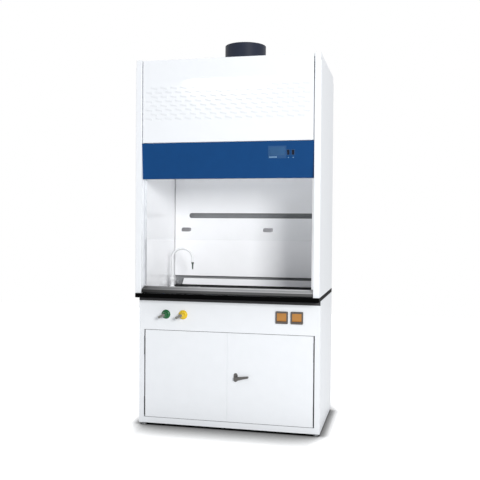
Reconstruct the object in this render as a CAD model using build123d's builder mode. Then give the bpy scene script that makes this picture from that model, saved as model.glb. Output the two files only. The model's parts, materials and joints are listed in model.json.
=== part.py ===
from build123d import *
from math import cos, hypot, radians, sin
import os

os.makedirs("parts", exist_ok=True)

# The whole hood: X runs across, Y into the hood, Z up from the floor
width = 1200.0
depth = 770.0
height = 2385.0
worktop_height = 880.0
worktop_nose = 20.0
post_width = 40.0
sheet = 1.5
bend = 2 * sheet
running_gap = 0.05
fit_gap = 0.3
half = width / 2
inner = half - post_width
front = (worktop_nose - depth) / 2
back = front + depth

# Worktop and base cabinet
worktop_thickness = 28.0
worktop_corner = 22.0
worktop_edge = 3.0
foot_height = 15.0
foot_pad_thickness = 8.0
foot_pad_radius = 18.0
foot_pad_edge = 1.5
foot_stem_radius = 5.0
foot_nut_radius = 9.0
foot_inset = 28.0
base_setback = 77.0
base_rim = 35.0
floor_height = 50.0
shelf_height = 330.0
shelf_lip = 25.0
ledge = 20.0
base_face = front + base_setback
base_top = worktop_height - worktop_thickness

# Doors, hinges and latch
opening_margin = 35.0
opening_width = width - 2 * opening_margin
opening_bottom = floor_height + 3
opening_top = base_top - 218
half_opening = opening_width / 2
frame_return = 24.0
door_gap = 3.0
door_meeting_gap = 2.0
hinge_gap = 4.0
door_thickness = 20.0
door_lip = 14.0
hinge_length = 120.0
hinge_radius = 3.5
hinge_pin_radius = 1.75
hinge_heights = [opening_bottom + 75, opening_top - 106]
leaf_depth = 18.0
latch_x = 62.0
latch_z = (opening_bottom + opening_top) / 2 - 3.5
latch_arm = 84.0
latch_angle = 9.5
latch_hub_radius = 13.0
latch_plate_width = 26.0
latch_plate_height = 56.0
latch_plate_thickness = 4.0
latch_lift = 7.0
latch_lever_thickness = 11.0
latch_spindle_radius = 5.0
cam_length = 80.0
cam_width = 18.0
cam_thickness = 3.0
cam_clearance = 3.0

# Service fittings on the base front
valve_height = base_top - 114
valve_places = [185 - half, 302 - half]
valve_rosette_radius = 30.0
valve_rosette_depth = 12.0
valve_knob_radius = 17.0
valve_knob_length = 40.0
valve_flutes = 8
valve_flute_radius = 3.2
valve_stem_radius = 4.0
valve_stem_length = 12.0
valve_lever_length = 36.0
valve_lever_width = 17.0
valve_lever_thickness = 12.0
valve_lever_angle = 207.0
valve_body_radius = 15.0
valve_body_length = 42.0
valve_stub_length = 45.0
valve_stub_radius = 7.5
valve_nut_radius = 11.0
valve_nut_height = 12.0
outlet_places = [half - 244.5, half - 148]
outlet_height = base_top - 109
outlet_size = 78.0
outlet_depth = 11.0
outlet_window_width = 60.0
outlet_window_height = 54.0
outlet_strip = 13.0
outlet_cutout = 52.0
socket_radius = 19.5
socket_body_depth = 34.0
socket_floor = 14.0
socket_face = 3.0
flap_thickness = 4.0
flap_side_gap = 0.3
flap_grip = 4.0
flap_pin_radius = 1.4
flap_pin_reach = 3.0

# Outer casing above the worktop
post_return = 75.0
rear_flange = 25.0
shoulder_drop = 50.0
shoulder_step = 3.0
roof_drop = 40.0
roof_flange = 24.0
panel_recess = 8.0
panel_gap = 6.0
panel_edge_gap = 3.0
panel_return = 18.0
shoulder = height - shoulder_drop
roof_height = height - roof_drop
ceiling_height = height - 123
pulley_height = height - 85
collar_top = height + 195
collar_y = back - 207
collar_radius = 143.0
collar_wall = 2.0
collar_flange = 24.0

# Sill, sash, cables and pulleys
sill_bottom = worktop_height + 5
sill_nose_height = worktop_height + 26
sill_top = worktop_height + 44
sill_reach = 62.0
sill_nose_lean = 5.0
sill_tail = 10.0
sill_gap = 2.0
sill_rib_inset = 14.0
sill_rib_front = 12.0
sill_rib_back = 6.0
sill_rib_steps = 4
sash_plane = 50.0
sash_opening = 304.0
sash_overlap = 23.0
sash_headroom = 5.0
sash_footroom = 9.0
glass_thickness = 6.0
guide_reach = 15.0
guide_clearance = 0.8
guide_gap = 14.0
guide_overrun = 4.0
guide_top = ceiling_height + 6
runner_cover = 3.2
rail_height = 25.0
rail_cover = 3.0
rail_thickness = 12.0
pull_width = 62.0
pull_height = 26.0
pull_depth = 14.0
pull_wall = 3.0
pull_rise = 54.0
pull_headroom = 12.0
cable_radius = 1.5
pulley_radius = 26.0
pulley_rim = 30.0
pulley_rim_edge = 1.0
groove_radius = 24.2
groove_width = 4.0
web_holes = 4
web_hole_radius = 5.0
pulley_width = 12.0
axle_radius = 4.0
bracket_wall = 2.0
cheek_gap = 1.0
cheek_half = 12.0
lug_height = 14.0
lug_half = 6.0
lug_thickness = 4.0
glass_half_width = inner - 8
pull_spacing = inner - 292
cable_x = inner - 20
sash_y = front + sash_plane
pulley_bottom = pulley_height - pulley_rim

# The fascia's lower edge lies midway between sill and wheels, so that the pane covers the opening when it
# is down and clears the wheels when it is up
fascia_height = 230.0
fascia_bottom = (pulley_bottom + sill_top) / 2 + sash_overlap
fascia_top = fascia_bottom + fascia_height
fascia_top_recess = 7.0
fascia_bottom_recess = 26.0
fascia_reach = 40.0
sash_edge = sill_top + sash_opening
sash_rise = fascia_bottom - pull_headroom - pull_height - pull_rise - sash_edge
sash_drop = sash_edge - sill_top - sash_footroom
rail_top = pulley_bottom - sash_headroom - lug_height - sash_rise
glass_top = rail_top - rail_cover

# Upper front panel: rows of slanted slots, each under a pressed hood
vent_columns = 16
vent_margin = 26.0
vent_row_share = 66.0
vent_rows = int((height - fascia_top) / vent_row_share)
vent_pitch_x = 2 * (inner - panel_gap - vent_margin) / vent_columns
vent_pitch_z = 28.0
vent_length = vent_pitch_x - 24
vent_slot = 8.0
vent_tilt = -11.0
vent_centre_height = (fascia_top + height) / 2 - 15.5
louvre_wall = 1.2
louvre_reach = 4.5

# Controls on the fascia
display_x = inner - 232
display_width = 115.0
display_height = 78.0
display_rise = 46.0
display_lap = 4.0
display_housing = 14.0
screen_width = 97.0
screen_height = 52.0
screen_rise = 5.0
screen_depth = 1.0
switch_places = [inner - 162, inner - 132]
switch_rise = 44.0
switch_width = 15.0
switch_height = 28.0
switch_tilt = 8.0
switch_lap = 4.0
switch_side_wall = 2.0
switch_end_wall = 3.0
bezel = 2.0
rocker_depth = 3.0
rocker_well = 8.0
rocker_foot = 4.0
rocker_edge = 1.0
rocker_pin_radius = 1.0
rocker_pin_length = 1.2

# Working chamber
liner = 4.0
ceiling_front = 90.0
rear_liner_y = back - 37
baffle_y = rear_liner_y - 36
baffle_sheet = 3.0
baffle_side_gap = 4.0
lower_slot = 20.0
lower_baffle_bottom = worktop_height + 5
lower_baffle_top = worktop_height + 51
lower_baffle_half = inner - 60
lower_baffle_mitre = 14.0
upper_slot_left = 112 - inner
upper_slot_right = inner - 40
upper_slot_bottom = worktop_height + 495
upper_slot_height = 37.0
main_baffle_top = fascia_top
sloped_baffle_run = 292.0
sloped_baffle_top = ceiling_height - 30
bracket_places = [260 - inner, inner - 260]
bracket_heights = [worktop_height + 25, worktop_height + 120, upper_slot_bottom - 75, main_baffle_top - 70]
bracket_width = 30.0
bracket_foot = 18.0
hanger_height = 40.0
corner_lug_x = inner - 23
corner_lug_width = 17.0
corner_lug_bottom = worktop_height + 10
corner_lug_rise = 22.0

# Counterweight behind the back lining
weight_y = back - 24
weight_headroom = 43.0
weight_clearance = 1.5
weight_thickness = 12.0
weight_height = 128.0
weight_half_width = inner - 5
weight_top = pulley_bottom - weight_headroom - lug_height - sash_drop
weight_bottom = weight_top - weight_height
channel_sheet = 1.5
channel_overrun = 10.0

# Faucet, cup sink and lamp
faucet_x = 57 - inner
faucet_base_radius = 25.0
faucet_body_radius = 13.0
faucet_body_height = 70.0
faucet_ring = 3.0
faucet_socket = 16.0
faucet_shank = 20.0
spout_radius = 8.0
spout_reach = 150.0
spout_rise = 285.0
spout_drop = 20.0
nozzle_length = 50.0
nozzle_radius = 9.0
nozzle_neck = 12.0
nozzle_barbs = 4
barb_depth = 2.0
barb_taper = 0.5
cup_x = faucet_x + spout_reach
cup_y = baffle_y - 225
cup_length = 150.0
cup_width = 76.0
cup_depth = 110.0
cup_wall = 3.0
cup_rim = 9.0
cup_floor_length = 82.0
cup_floor_width = 44.0
drain_radius = 20.0
drain_length = 45.0
lamp_y = front + 205
lamp_half_length = inner - 250
lamp_window_half = lamp_half_length - 15
lamp_window_width = 110.0
lamp_lens_thickness = 4.0
lens_overlap = 6.0
tube_half_length = lamp_half_length - 20
lamp_width = 130.0
lamp_height = 58.0
tube_radius = 13.0


def facing(y):
    """A plane across the hood at depth y that looks towards the user, with X to the right and Z up."""
    return Plane.XZ.offset(-y)


def save(builder, name):
    """Label a finished piece and write it under its own name."""
    builder.part.label = name
    export_step(builder.part, f"parts/{name}.step")


def fold(plane, points, length, side=Side.LEFT, thickness=sheet, radius=bend):
    """Extrude a strip of bent sheet whose outer line runs through the points, the metal on the given side."""
    with BuildSketch(plane) as strip:
        with BuildLine():
            FilletPolyline(*points, radius=radius)
            offset(amount=thickness, side=side)
        make_face()
    extrude(strip.sketch, amount=length)


def plate(plane, x0, x1, y0, y1, thickness, mode=Mode.ADD):
    """Extrude a rectangle given by its corners on a plane."""
    with BuildSketch(plane) as sheet_outline:
        with Locations(((x0 + x1) / 2, (y0 + y1) / 2)):
            Rectangle(x1 - x0, y1 - y0)
    extrude(sheet_outline.sketch, amount=thickness, mode=mode)


def rod(plane, x, y, radius, length, mode=Mode.ADD):
    """Extrude a circle that stands at a point on a plane."""
    with BuildSketch(plane) as section:
        with Locations((x, y)):
            Circle(radius)
    extrude(section.sketch, amount=length, mode=mode)


# Base cabinet shell: two sides and a back from one folded sheet, with a floor, a top rim and foot gussets
shell_front = base_face + sheet
foot_places = [
    (x, y)
    for x in (-half + foot_inset, half - foot_inset)
    for y in (base_face + foot_inset, back - foot_inset)
]
with BuildPart() as base_shell:
    fold(
        Plane.XY.offset(foot_height),
        [(half, shell_front), (half, back), (-half, back), (-half, shell_front)],
        base_top - foot_height,
    )
    plate(Plane.XY.offset(floor_height), sheet - half, half - sheet, shell_front, back - sheet, sheet)
    plate(Plane.XY.offset(base_top - sheet), sheet - half, half - sheet, shell_front, back - sheet, sheet)
    plate(
        Plane.XY.offset(base_top - sheet),
        base_rim - half,
        half - base_rim,
        shell_front + base_rim,
        back - base_rim,
        sheet,
        mode=Mode.SUBTRACT,
    )
    for side in (-1, 1):
        wall = side * (half - sheet)
        reach = wall - side * ledge
        plate(
            Plane.XY.offset(shelf_height - sheet),
            min(wall, reach),
            max(wall, reach),
            shell_front + base_rim,
            back - sheet,
            sheet,
        )
    for x, y in foot_places:
        plate(
            Plane.XY.offset(foot_height),
            x - foot_inset + sheet,
            x + foot_inset - sheet,
            y - foot_inset + sheet,
            y + foot_inset - sheet,
            sheet,
        )
        rod(Plane.XY.offset(foot_height), x, y, foot_stem_radius + fit_gap, sheet, mode=Mode.SUBTRACT)
save(base_shell, "base_shell")

# Base front: one sheet with a door opening folded inwards all round, holes for the valves and the outlets
with BuildPart() as base_front:
    with BuildSketch(facing(shell_front)):
        with Locations((0, (foot_height + base_top) / 2)):
            Rectangle(width, base_top - foot_height)
        with Locations((0, (opening_bottom + opening_top) / 2)):
            Rectangle(opening_width, opening_top - opening_bottom, mode=Mode.SUBTRACT)
        with Locations(*[(x, valve_height) for x in valve_places]):
            Circle(valve_body_radius - sheet, mode=Mode.SUBTRACT)
        with Locations(*[(x, outlet_height) for x in outlet_places]):
            Rectangle(outlet_cutout, outlet_cutout, mode=Mode.SUBTRACT)
    extrude(amount=sheet)
    with BuildSketch(facing(shell_front)):
        with Locations((0, (opening_bottom + opening_top) / 2)):
            Rectangle(opening_width + 2 * sheet, opening_top - opening_bottom + 2 * sheet)
            Rectangle(opening_width, opening_top - opening_bottom, mode=Mode.SUBTRACT)
    extrude(amount=-frame_return)
save(base_front, "base_front")

# Shelf: a loose tray that lies on the two ledges, its front edge turned down
with BuildPart() as base_shelf:
    fold(
        Plane.YZ.offset(2 * sheet - half),
        [
            (shell_front + base_rim, shelf_height - shelf_lip),
            (shell_front + base_rim, shelf_height + sheet),
            (back - 2 * sheet, shelf_height + sheet),
        ],
        width - 4 * sheet,
        side=Side.RIGHT,
    )
    for side in (-1, 1):
        corner = side * (half - sheet)
        relief = corner - side * (ledge + sheet)
        plate(
            facing(shell_front + base_rim + sheet + bend),
            min(corner, relief),
            max(corner, relief),
            shelf_height - shelf_lip,
            shelf_height,
            sheet + bend,
            mode=Mode.SUBTRACT,
        )
save(base_shelf, "base_shelf")

# Levelling feet: a pad, a threaded stem through the gusset and a lock nut each side of it
with BuildPart() as levelling_feet:
    for x, y in foot_places:
        rod(Plane.XY, x, y, foot_pad_radius, foot_pad_thickness)
        stem_length = floor_height - 2 * foot_pad_thickness
        rod(Plane.XY.offset(foot_pad_thickness), x, y, foot_stem_radius, stem_length)
        with BuildSketch(Plane.XY.offset(foot_pad_thickness), Plane.XY.offset(foot_height + sheet)):
            with Locations((x, y)):
                RegularPolygon(foot_nut_radius, 6)
        extrude(amount=foot_height - foot_pad_thickness)
    chamfer(levelling_feet.edges().filter_by(GeomType.CIRCLE).group_by(Axis.Z)[1], foot_pad_edge)
save(levelling_feet, "levelling_feet")

# Doors: folded pans, open at the back behind a lip, hung at their outer edges
door_outer = half_opening - 2 * hinge_gap
door_inner = door_meeting_gap / 2
door_bottom = opening_bottom + door_gap
door_top = opening_top - door_gap
door_back = base_face + door_thickness
with BuildPart() as left_door:
    plate(facing(door_back), -door_outer, -door_inner, door_bottom, door_top, door_thickness)
    plate(
        facing(door_back - sheet),
        sheet - door_outer,
        -sheet - door_inner,
        door_bottom + sheet,
        door_top - sheet,
        door_thickness - 2 * sheet,
        mode=Mode.SUBTRACT,
    )
    plate(
        facing(door_back),
        door_lip - door_outer,
        -door_lip - door_inner,
        door_bottom + door_lip,
        door_top - door_lip,
        sheet,
        mode=Mode.SUBTRACT,
    )
    fillet(left_door.edges().filter_by(Axis.Z).group_by(Axis.Y)[0], sheet / 2)
save(left_door, "left_door")

with BuildPart() as right_door:
    mirror(left_door.part, about=Plane.YZ)
    rod(
        facing(base_face + 2 * sheet),
        latch_x,
        latch_z,
        latch_spindle_radius + fit_gap,
        2 * sheet,
        mode=Mode.SUBTRACT,
    )
save(right_door, "right_door")

# Hinges: knuckles in the side gaps, the outer thirds on the frame and the middle third on the door
hinge_x = half_opening - hinge_gap
knuckle = hinge_length / 3
with BuildPart() as frame_hinge_leaves:
    for side in (-1, 1):
        leaf_inner = side * (half_opening - sheet)
        for z in hinge_heights:
            for low in (z - hinge_length / 2, z + hinge_length / 2 - knuckle):
                rod(Plane.XY.offset(low), side * hinge_x, base_face, hinge_radius, knuckle)
                plate(
                    Plane.XY.offset(low),
                    min(leaf_inner, side * half_opening),
                    max(leaf_inner, side * half_opening),
                    base_face,
                    base_face + leaf_depth,
                    knuckle,
                )
                plate(
                    Plane.XY.offset(low),
                    min(side * hinge_x, side * half_opening),
                    max(side * hinge_x, side * half_opening),
                    base_face + hinge_radius - sheet,
                    base_face + hinge_radius,
                    knuckle,
                )
                rod(
                    Plane.XY.offset(low),
                    side * hinge_x,
                    base_face,
                    hinge_pin_radius,
                    knuckle,
                    mode=Mode.SUBTRACT,
                )
            rod(
                Plane.XY.offset(z - hinge_length / 2 - sheet),
                side * hinge_x,
                base_face,
                hinge_pin_radius,
                hinge_length + 2 * sheet,
            )
save(frame_hinge_leaves, "frame_hinge_leaves")

with BuildPart() as left_hinge_leaves:
    for z in hinge_heights:
        low = Plane.XY.offset(z - knuckle / 2 + fit_gap)
        tall = knuckle - 2 * fit_gap
        rod(low, -hinge_x, base_face, hinge_radius, tall)
        plate(low, -door_outer - sheet, -door_outer, base_face, base_face + leaf_depth, tall)
        plate(
            low,
            -hinge_x,
            -door_outer,
            base_face + hinge_radius - sheet,
            base_face + hinge_radius,
            tall,
        )
        rod(low, -hinge_x, base_face, hinge_pin_radius + running_gap, tall, mode=Mode.SUBTRACT)
save(left_hinge_leaves, "left_hinge_leaves")

with BuildPart() as right_hinge_leaves:
    mirror(left_hinge_leaves.part, about=Plane.YZ)
save(right_hinge_leaves, "right_hinge_leaves")

# Latch: a plate on the right door, a lever cast in one with its spindle, and a cam behind the door
latch_face = base_face - latch_plate_thickness
with BuildPart() as latch_plate:
    with BuildSketch(facing(base_face)):
        with Locations((latch_x - 4, latch_z + 6)):
            SlotOverall(latch_plate_height, latch_plate_width, rotation=90)
        with Locations((latch_x, latch_z)):
            Circle(latch_spindle_radius + running_gap, mode=Mode.SUBTRACT)
    extrude(amount=latch_plate_thickness)
    chamfer(latch_plate.faces().sort_by(Axis.Y)[0].outer_wire().edges(), 1)
save(latch_plate, "latch_plate")

latch_plane = Plane(
    origin=(latch_x, latch_face - fit_gap, latch_z),
    x_dir=(cos(radians(latch_angle)), 0, sin(radians(latch_angle))),
    z_dir=(0, -1, 0),
)
cam_front = door_back + cam_clearance
with BuildPart() as latch_handle:
    with BuildSketch(latch_plane):
        Circle(latch_hub_radius)
    extrude(amount=latch_lift + latch_lever_thickness)
    with BuildSketch(latch_plane.offset(latch_lift)):
        with BuildLine():
            Polyline(
                (0, 1 - latch_hub_radius),
                (latch_arm, -5),
                (latch_arm, 6),
                (0, latch_hub_radius - 2),
                close=True,
            )
        make_face()
    extrude(amount=latch_lever_thickness)
    fillet(latch_handle.edges().filter_by(Axis.Y).sort_by(Axis.X)[-2:], 4)
    fillet(latch_handle.faces().sort_by(Axis.Y)[0].outer_wire().edges(), 2)
    with BuildSketch(latch_plane):
        Circle(latch_spindle_radius)
    extrude(amount=latch_face - fit_gap - cam_front)
save(latch_handle, "latch_handle")

with BuildPart() as latch_cam:
    with BuildSketch(facing(cam_front + cam_thickness)):
        with Locations((latch_x, latch_z - (cam_length - cam_width / 2) / 2)):
            SlotOverall(cam_length + cam_width / 2, cam_width, rotation=90)
    extrude(amount=cam_thickness)
save(latch_cam, "latch_cam")

# Worktop: a thick slab with rounded front corners, an oval hole for the cup sink and one for the faucet
with BuildPart() as worktop:
    with BuildSketch(Plane.XY.offset(base_top)):
        with Locations((0, (back + front - worktop_nose) / 2)):
            Rectangle(width, depth + worktop_nose)
        with Locations((cup_x, cup_y)):
            SlotOverall(cup_length + 2 * fit_gap, cup_width + 2 * fit_gap, rotation=90, mode=Mode.SUBTRACT)
        with Locations((faucet_x, cup_y)):
            Circle(faucet_body_radius - faucet_ring, mode=Mode.SUBTRACT)
    extrude(amount=worktop_thickness)
    fillet(worktop.edges().filter_by(Axis.Z).group_by(Axis.Y)[0], worktop_corner)
    fillet(worktop.faces().sort_by(Axis.Z)[-1].outer_wire().edges(), worktop_edge)
    fillet(worktop.faces().sort_by(Axis.Z)[0].outer_wire().edges(), worktop_edge)
save(worktop, "worktop")

# Sill: a bent aerofoil strip between the posts, on ribs that leave an air gap above the worktop
sill_half = inner - sill_gap
sill_slope = (sill_top - sill_nose_height) / (sill_reach - sill_nose_lean)
rib_front = front + sill_rib_front
rib_back = front + sill_reach - sill_rib_back
rib_pitch = 2 * (sill_half - sill_rib_inset) / sill_rib_steps
rib_places = [(step - sill_rib_steps / 2) * rib_pitch for step in range(sill_rib_steps + 1)]
with BuildPart() as airfoil_sill:
    fold(
        Plane.YZ.offset(-sill_half),
        [
            (rib_front - sheet, sill_bottom),
            (front, sill_bottom),
            (front + sill_nose_lean, sill_nose_height),
            (front + sill_reach, sill_top),
            (front + sill_reach + sheet, sill_top - sill_tail),
        ],
        2 * sill_half,
        side=Side.RIGHT,
        radius=bend,
    )
    for x in rib_places:
        with BuildSketch(Plane.YZ.offset(x - sheet)):
            with BuildLine():
                Polyline(
                    (rib_front, worktop_height),
                    (rib_front, sill_top - sheet - (front + sill_reach - rib_front) * sill_slope),
                    (rib_back, sill_top - sheet - (front + sill_reach - rib_back) * sill_slope),
                    (rib_back, worktop_height),
                    close=True,
                )
            make_face()
        extrude(amount=2 * sheet)
save(airfoil_sill, "airfoil_sill")

# Cup sink: an oval bowl that narrows to its drain, hung in the worktop by its rim
with BuildPart() as cup_sink:
    with BuildSketch(Plane.XY.offset(worktop_height)):
        with Locations((cup_x, cup_y)):
            SlotOverall(cup_length + 2 * cup_rim, cup_width + 2 * cup_rim, rotation=90)
    extrude(amount=cup_wall)
    for grow, mode in ((0, Mode.ADD), (-cup_wall, Mode.SUBTRACT)):
        top = Plane.XY.offset(worktop_height - grow)
        low = Plane.XY.offset(worktop_height - cup_depth - grow)
        with BuildSketch(top) as mouth:
            with Locations((cup_x, cup_y)):
                SlotOverall(cup_length + 2 * grow, cup_width + 2 * grow, rotation=90)
        with BuildSketch(Plane.XY.offset(base_top - cup_wall - grow)) as throat:
            with Locations((cup_x, cup_y)):
                SlotOverall(cup_length + 2 * grow, cup_width + 2 * grow, rotation=90)
        with BuildSketch(low) as bottom:
            with Locations((cup_x, cup_y)):
                SlotOverall(cup_floor_length + 2 * grow, cup_floor_width + 2 * grow, rotation=90)
        extrude(mouth.sketch, amount=-(worktop_thickness + cup_wall), mode=mode)
        loft([throat.sketch.face(), bottom.sketch.face()], mode=mode)
    rod(Plane.XY.offset(worktop_height - cup_depth), cup_x, cup_y, drain_radius, -drain_length)
    rod(
        Plane.XY.offset(worktop_height - cup_depth + 2 * cup_wall),
        cup_x,
        cup_y,
        drain_radius - cup_wall,
        -(drain_length + 3 * cup_wall),
        mode=Mode.SUBTRACT,
    )
save(cup_sink, "cup_sink")

# Faucet: a turned column on the worktop, a swan neck that turns in it and a serrated nozzle
with BuildPart() as faucet_column:
    with BuildSketch(Plane(origin=(faucet_x, cup_y, worktop_height), x_dir=(1, 0, 0), z_dir=(0, -1, 0))):
        with BuildLine():
            Polyline(
                (0, 0),
                (faucet_base_radius, 0),
                (faucet_base_radius, faucet_ring),
                (faucet_base_radius - 2 * faucet_ring, 3 * faucet_ring),
                (faucet_body_radius, 4 * faucet_ring),
                (faucet_body_radius, faucet_body_height - faucet_socket - 2 * faucet_ring),
                (faucet_body_radius + faucet_ring, faucet_body_height - faucet_socket - faucet_ring),
                (faucet_body_radius + faucet_ring, faucet_body_height - faucet_ring),
                (faucet_body_radius, faucet_body_height),
                (spout_radius + running_gap, faucet_body_height),
                (spout_radius + running_gap, faucet_body_height - faucet_socket),
                (0, faucet_body_height - faucet_socket),
                close=True,
            )
        make_face()
    revolve(axis=Axis((faucet_x, cup_y, 0), (0, 0, 1)))
    shank_radius = faucet_body_radius - faucet_ring - fit_gap
    rod(Plane.XY.offset(worktop_height), faucet_x, cup_y, shank_radius, -worktop_thickness - faucet_shank)
save(faucet_column, "faucet_column")

spout_arch = spout_reach / 2
spout_base = worktop_height + faucet_body_height - faucet_socket
spout_spring = worktop_height + spout_rise - spout_radius - spout_arch
with BuildPart() as faucet_spout:
    with BuildLine(Plane.XZ.offset(-cup_y)) as neck:
        Line((faucet_x, spout_base), (faucet_x, spout_spring))
        CenterArc((faucet_x + spout_arch, spout_spring), spout_arch, 180, -180)
        Line((cup_x, spout_spring), (cup_x, spout_spring - spout_drop))
    with BuildSketch(Plane.XY.offset(spout_base)):
        with Locations((faucet_x, cup_y)):
            Circle(spout_radius)
    sweep(path=neck.wires()[0])
save(faucet_spout, "faucet_spout")

nozzle_top = spout_spring - spout_drop
with BuildPart() as faucet_nozzle:
    with BuildSketch(Plane(origin=(cup_x, cup_y, nozzle_top), x_dir=(1, 0, 0), z_dir=(0, -1, 0))):
        with BuildLine():
            barbs = [(nozzle_radius, 0), (nozzle_radius, -nozzle_neck)]
            barb_pitch = (nozzle_length - nozzle_neck) / nozzle_barbs
            for barb in range(nozzle_barbs):
                level = -nozzle_neck - barb * barb_pitch
                crest = nozzle_radius - barb_depth - barb * barb_taper
                barbs.append((crest - barb_depth, level))
                barbs.append((crest, level - barb_pitch + barb_depth))
            tip = nozzle_radius - 2 * barb_depth - nozzle_barbs * barb_taper
            Polyline((0, 0), *barbs, (tip, -nozzle_length), (0, -nozzle_length), close=True)
        make_face()
    revolve(axis=Axis((cup_x, cup_y, 0), (0, 0, 1)))
save(faucet_nozzle, "faucet_nozzle")

# Valves: a domed rosette on the panel, a fluted knob on its stem, a short lever across the knob's tip
valve_names = ["green", "yellow"]
knob_foot = -valve_rosette_depth - fit_gap
knob_tip = knob_foot - valve_knob_length
knob_waist = knob_foot - valve_knob_length / 2
for name, x in zip(valve_names, valve_places):
    axis = Axis((x, 0, valve_height), (0, -1, 0))
    profile_plane = Plane(origin=(x, base_face, valve_height), x_dir=(1, 0, 0), z_dir=(0, 0, 1))
    with BuildPart() as rosette:
        with BuildSketch(profile_plane):
            with BuildLine():
                rim = Line((valve_stem_radius + running_gap, 0), (valve_rosette_radius, 0))
                edge = Line(rim @ 1, (valve_rosette_radius, -sheet))
                dome = ThreePointArc(
                    edge @ 1,
                    (valve_rosette_radius * 0.8, -valve_rosette_depth * 0.75),
                    (valve_rosette_radius / 2, -valve_rosette_depth),
                )
                flat = Line(dome @ 1, (valve_stem_radius + running_gap, -valve_rosette_depth))
                Line(flat @ 1, rim @ 0)
            make_face()
        revolve(axis=axis)
    save(rosette, f"{name}_valve_rosette")

    with BuildPart() as knob:
        with BuildSketch(profile_plane):
            with BuildLine():
                foot_line = Line((0, knob_foot), (valve_knob_radius, knob_foot))
                skirt = Line(foot_line @ 1, (valve_knob_radius, knob_waist))
                shoulder_curve = ThreePointArc(
                    skirt @ 1,
                    (valve_knob_radius * 0.85, (knob_waist + knob_tip) / 2),
                    (valve_knob_radius * 0.6, knob_tip),
                )
                top_line = Line(shoulder_curve @ 1, (0, knob_tip))
                Line(top_line @ 1, foot_line @ 0)
            make_face()
        revolve(axis=axis)
        with BuildSketch(facing(base_face + knob_tip)):
            with Locations((x, valve_height)):
                with PolarLocations(valve_knob_radius + valve_flute_radius / 2, valve_flutes):
                    Circle(valve_flute_radius)
        extrude(amount=-valve_knob_length, mode=Mode.SUBTRACT)
        rod(facing(base_face + knob_foot), x, valve_height, valve_stem_radius, knob_foot - valve_stem_length)
    save(knob, f"{name}_valve_knob")

    lever_plane = Plane(
        origin=(x, base_face + knob_tip, valve_height),
        x_dir=(cos(radians(valve_lever_angle)), 0, sin(radians(valve_lever_angle))),
        z_dir=(0, -1, 0),
    )
    with BuildPart() as lever:
        with BuildSketch(lever_plane):
            Circle(valve_knob_radius * 0.6)
            with BuildLine():
                Polyline(
                    (0, -valve_lever_width / 3),
                    (valve_lever_length, -valve_lever_width / 2),
                    (valve_lever_length, valve_lever_width / 2),
                    (0, valve_lever_width / 3),
                    close=True,
                )
            make_face()
        extrude(amount=valve_lever_thickness)
        fillet(lever.edges().filter_by(Axis.Y).sort_by(Axis.X)[:2], valve_lever_width / 4)
        fillet(lever.faces().sort_by(Axis.Y)[0].outer_wire().edges(), sheet)
    save(lever, f"{name}_valve_lever")

# Valve bodies behind the sheet: a barrel on the stem, a cross pipe and a hexagonal nut at each of its ends
with BuildPart() as valve_bodies:
    for x in valve_places:
        rod(facing(shell_front), x, valve_height, valve_body_radius, -valve_body_length)
        rod(
            facing(shell_front),
            x,
            valve_height,
            valve_stem_radius + running_gap,
            -valve_stem_length - sheet,
            mode=Mode.SUBTRACT,
        )
        middle = shell_front + valve_body_length - valve_body_radius
        low_end = valve_height - valve_stub_length
        high_end = valve_height + valve_stub_length
        rod(Plane.XY.offset(low_end), x, middle, valve_stub_radius, high_end - low_end)
        for end in (low_end, high_end - valve_nut_height):
            with BuildSketch(Plane.XY.offset(end)):
                with Locations((x, middle)):
                    RegularPolygon(valve_nut_radius, 6)
            extrude(amount=valve_nut_height)
save(valve_bodies, "valve_bodies")

# Outlets: square frames with a flap hung at its top edge, over a recessed socket
window_low = outlet_height - outlet_size / 2 + outlet_strip
window_top = window_low + outlet_window_height
window_half = outlet_window_width / 2
flap_axis_z = window_top - fit_gap - flap_thickness / 2
flap_axis_y = base_face - outlet_depth + flap_thickness / 2
with BuildPart() as outlet_frames:
    for x in outlet_places:
        with BuildSketch(facing(base_face)):
            with Locations((x, outlet_height)):
                RectangleRounded(outlet_size, outlet_size, 5)
            with Locations((x, (window_low + window_top) / 2)):
                Rectangle(outlet_window_width, outlet_window_height, mode=Mode.SUBTRACT)
        extrude(amount=outlet_depth)
        with BuildSketch(Plane.YZ.offset(x - window_half - flap_pin_reach - sheet)):
            with Locations((flap_axis_y, flap_axis_z)):
                Circle(flap_pin_radius + running_gap)
        extrude(amount=outlet_window_width + 2 * (flap_pin_reach + sheet), mode=Mode.SUBTRACT)
    front_rims = outlet_frames.faces().filter_by(Axis.Y).sort_by(Axis.Y)[0:2]
    chamfer([edge for face in front_rims for edge in face.outer_wire().edges()], 2)
save(outlet_frames, "outlet_frames")

with BuildPart() as outlet_sockets:
    for x in outlet_places:
        socket_z = (window_low + window_top) / 2
        with BuildSketch(facing(base_face)):
            with Locations((x, socket_z)):
                Rectangle(outlet_window_width, outlet_window_height)
                Circle(socket_radius, mode=Mode.SUBTRACT)
        extrude(amount=socket_face)
        with BuildSketch(facing(base_face)):
            with Locations((x, outlet_height)):
                Rectangle(outlet_cutout - 2 * fit_gap, outlet_cutout - 2 * fit_gap)
            with Locations((x, socket_z)):
                Circle(socket_radius, mode=Mode.SUBTRACT)
        extrude(amount=-socket_body_depth)
        with BuildSketch(facing(base_face + socket_body_depth)):
            with Locations((x, socket_z)):
                Circle(socket_radius)
                with Locations((-socket_radius / 2, 0), (socket_radius / 2, 0)):
                    Circle(socket_radius / 8, mode=Mode.SUBTRACT)
        extrude(amount=socket_floor)
save(outlet_sockets, "outlet_sockets")

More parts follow.
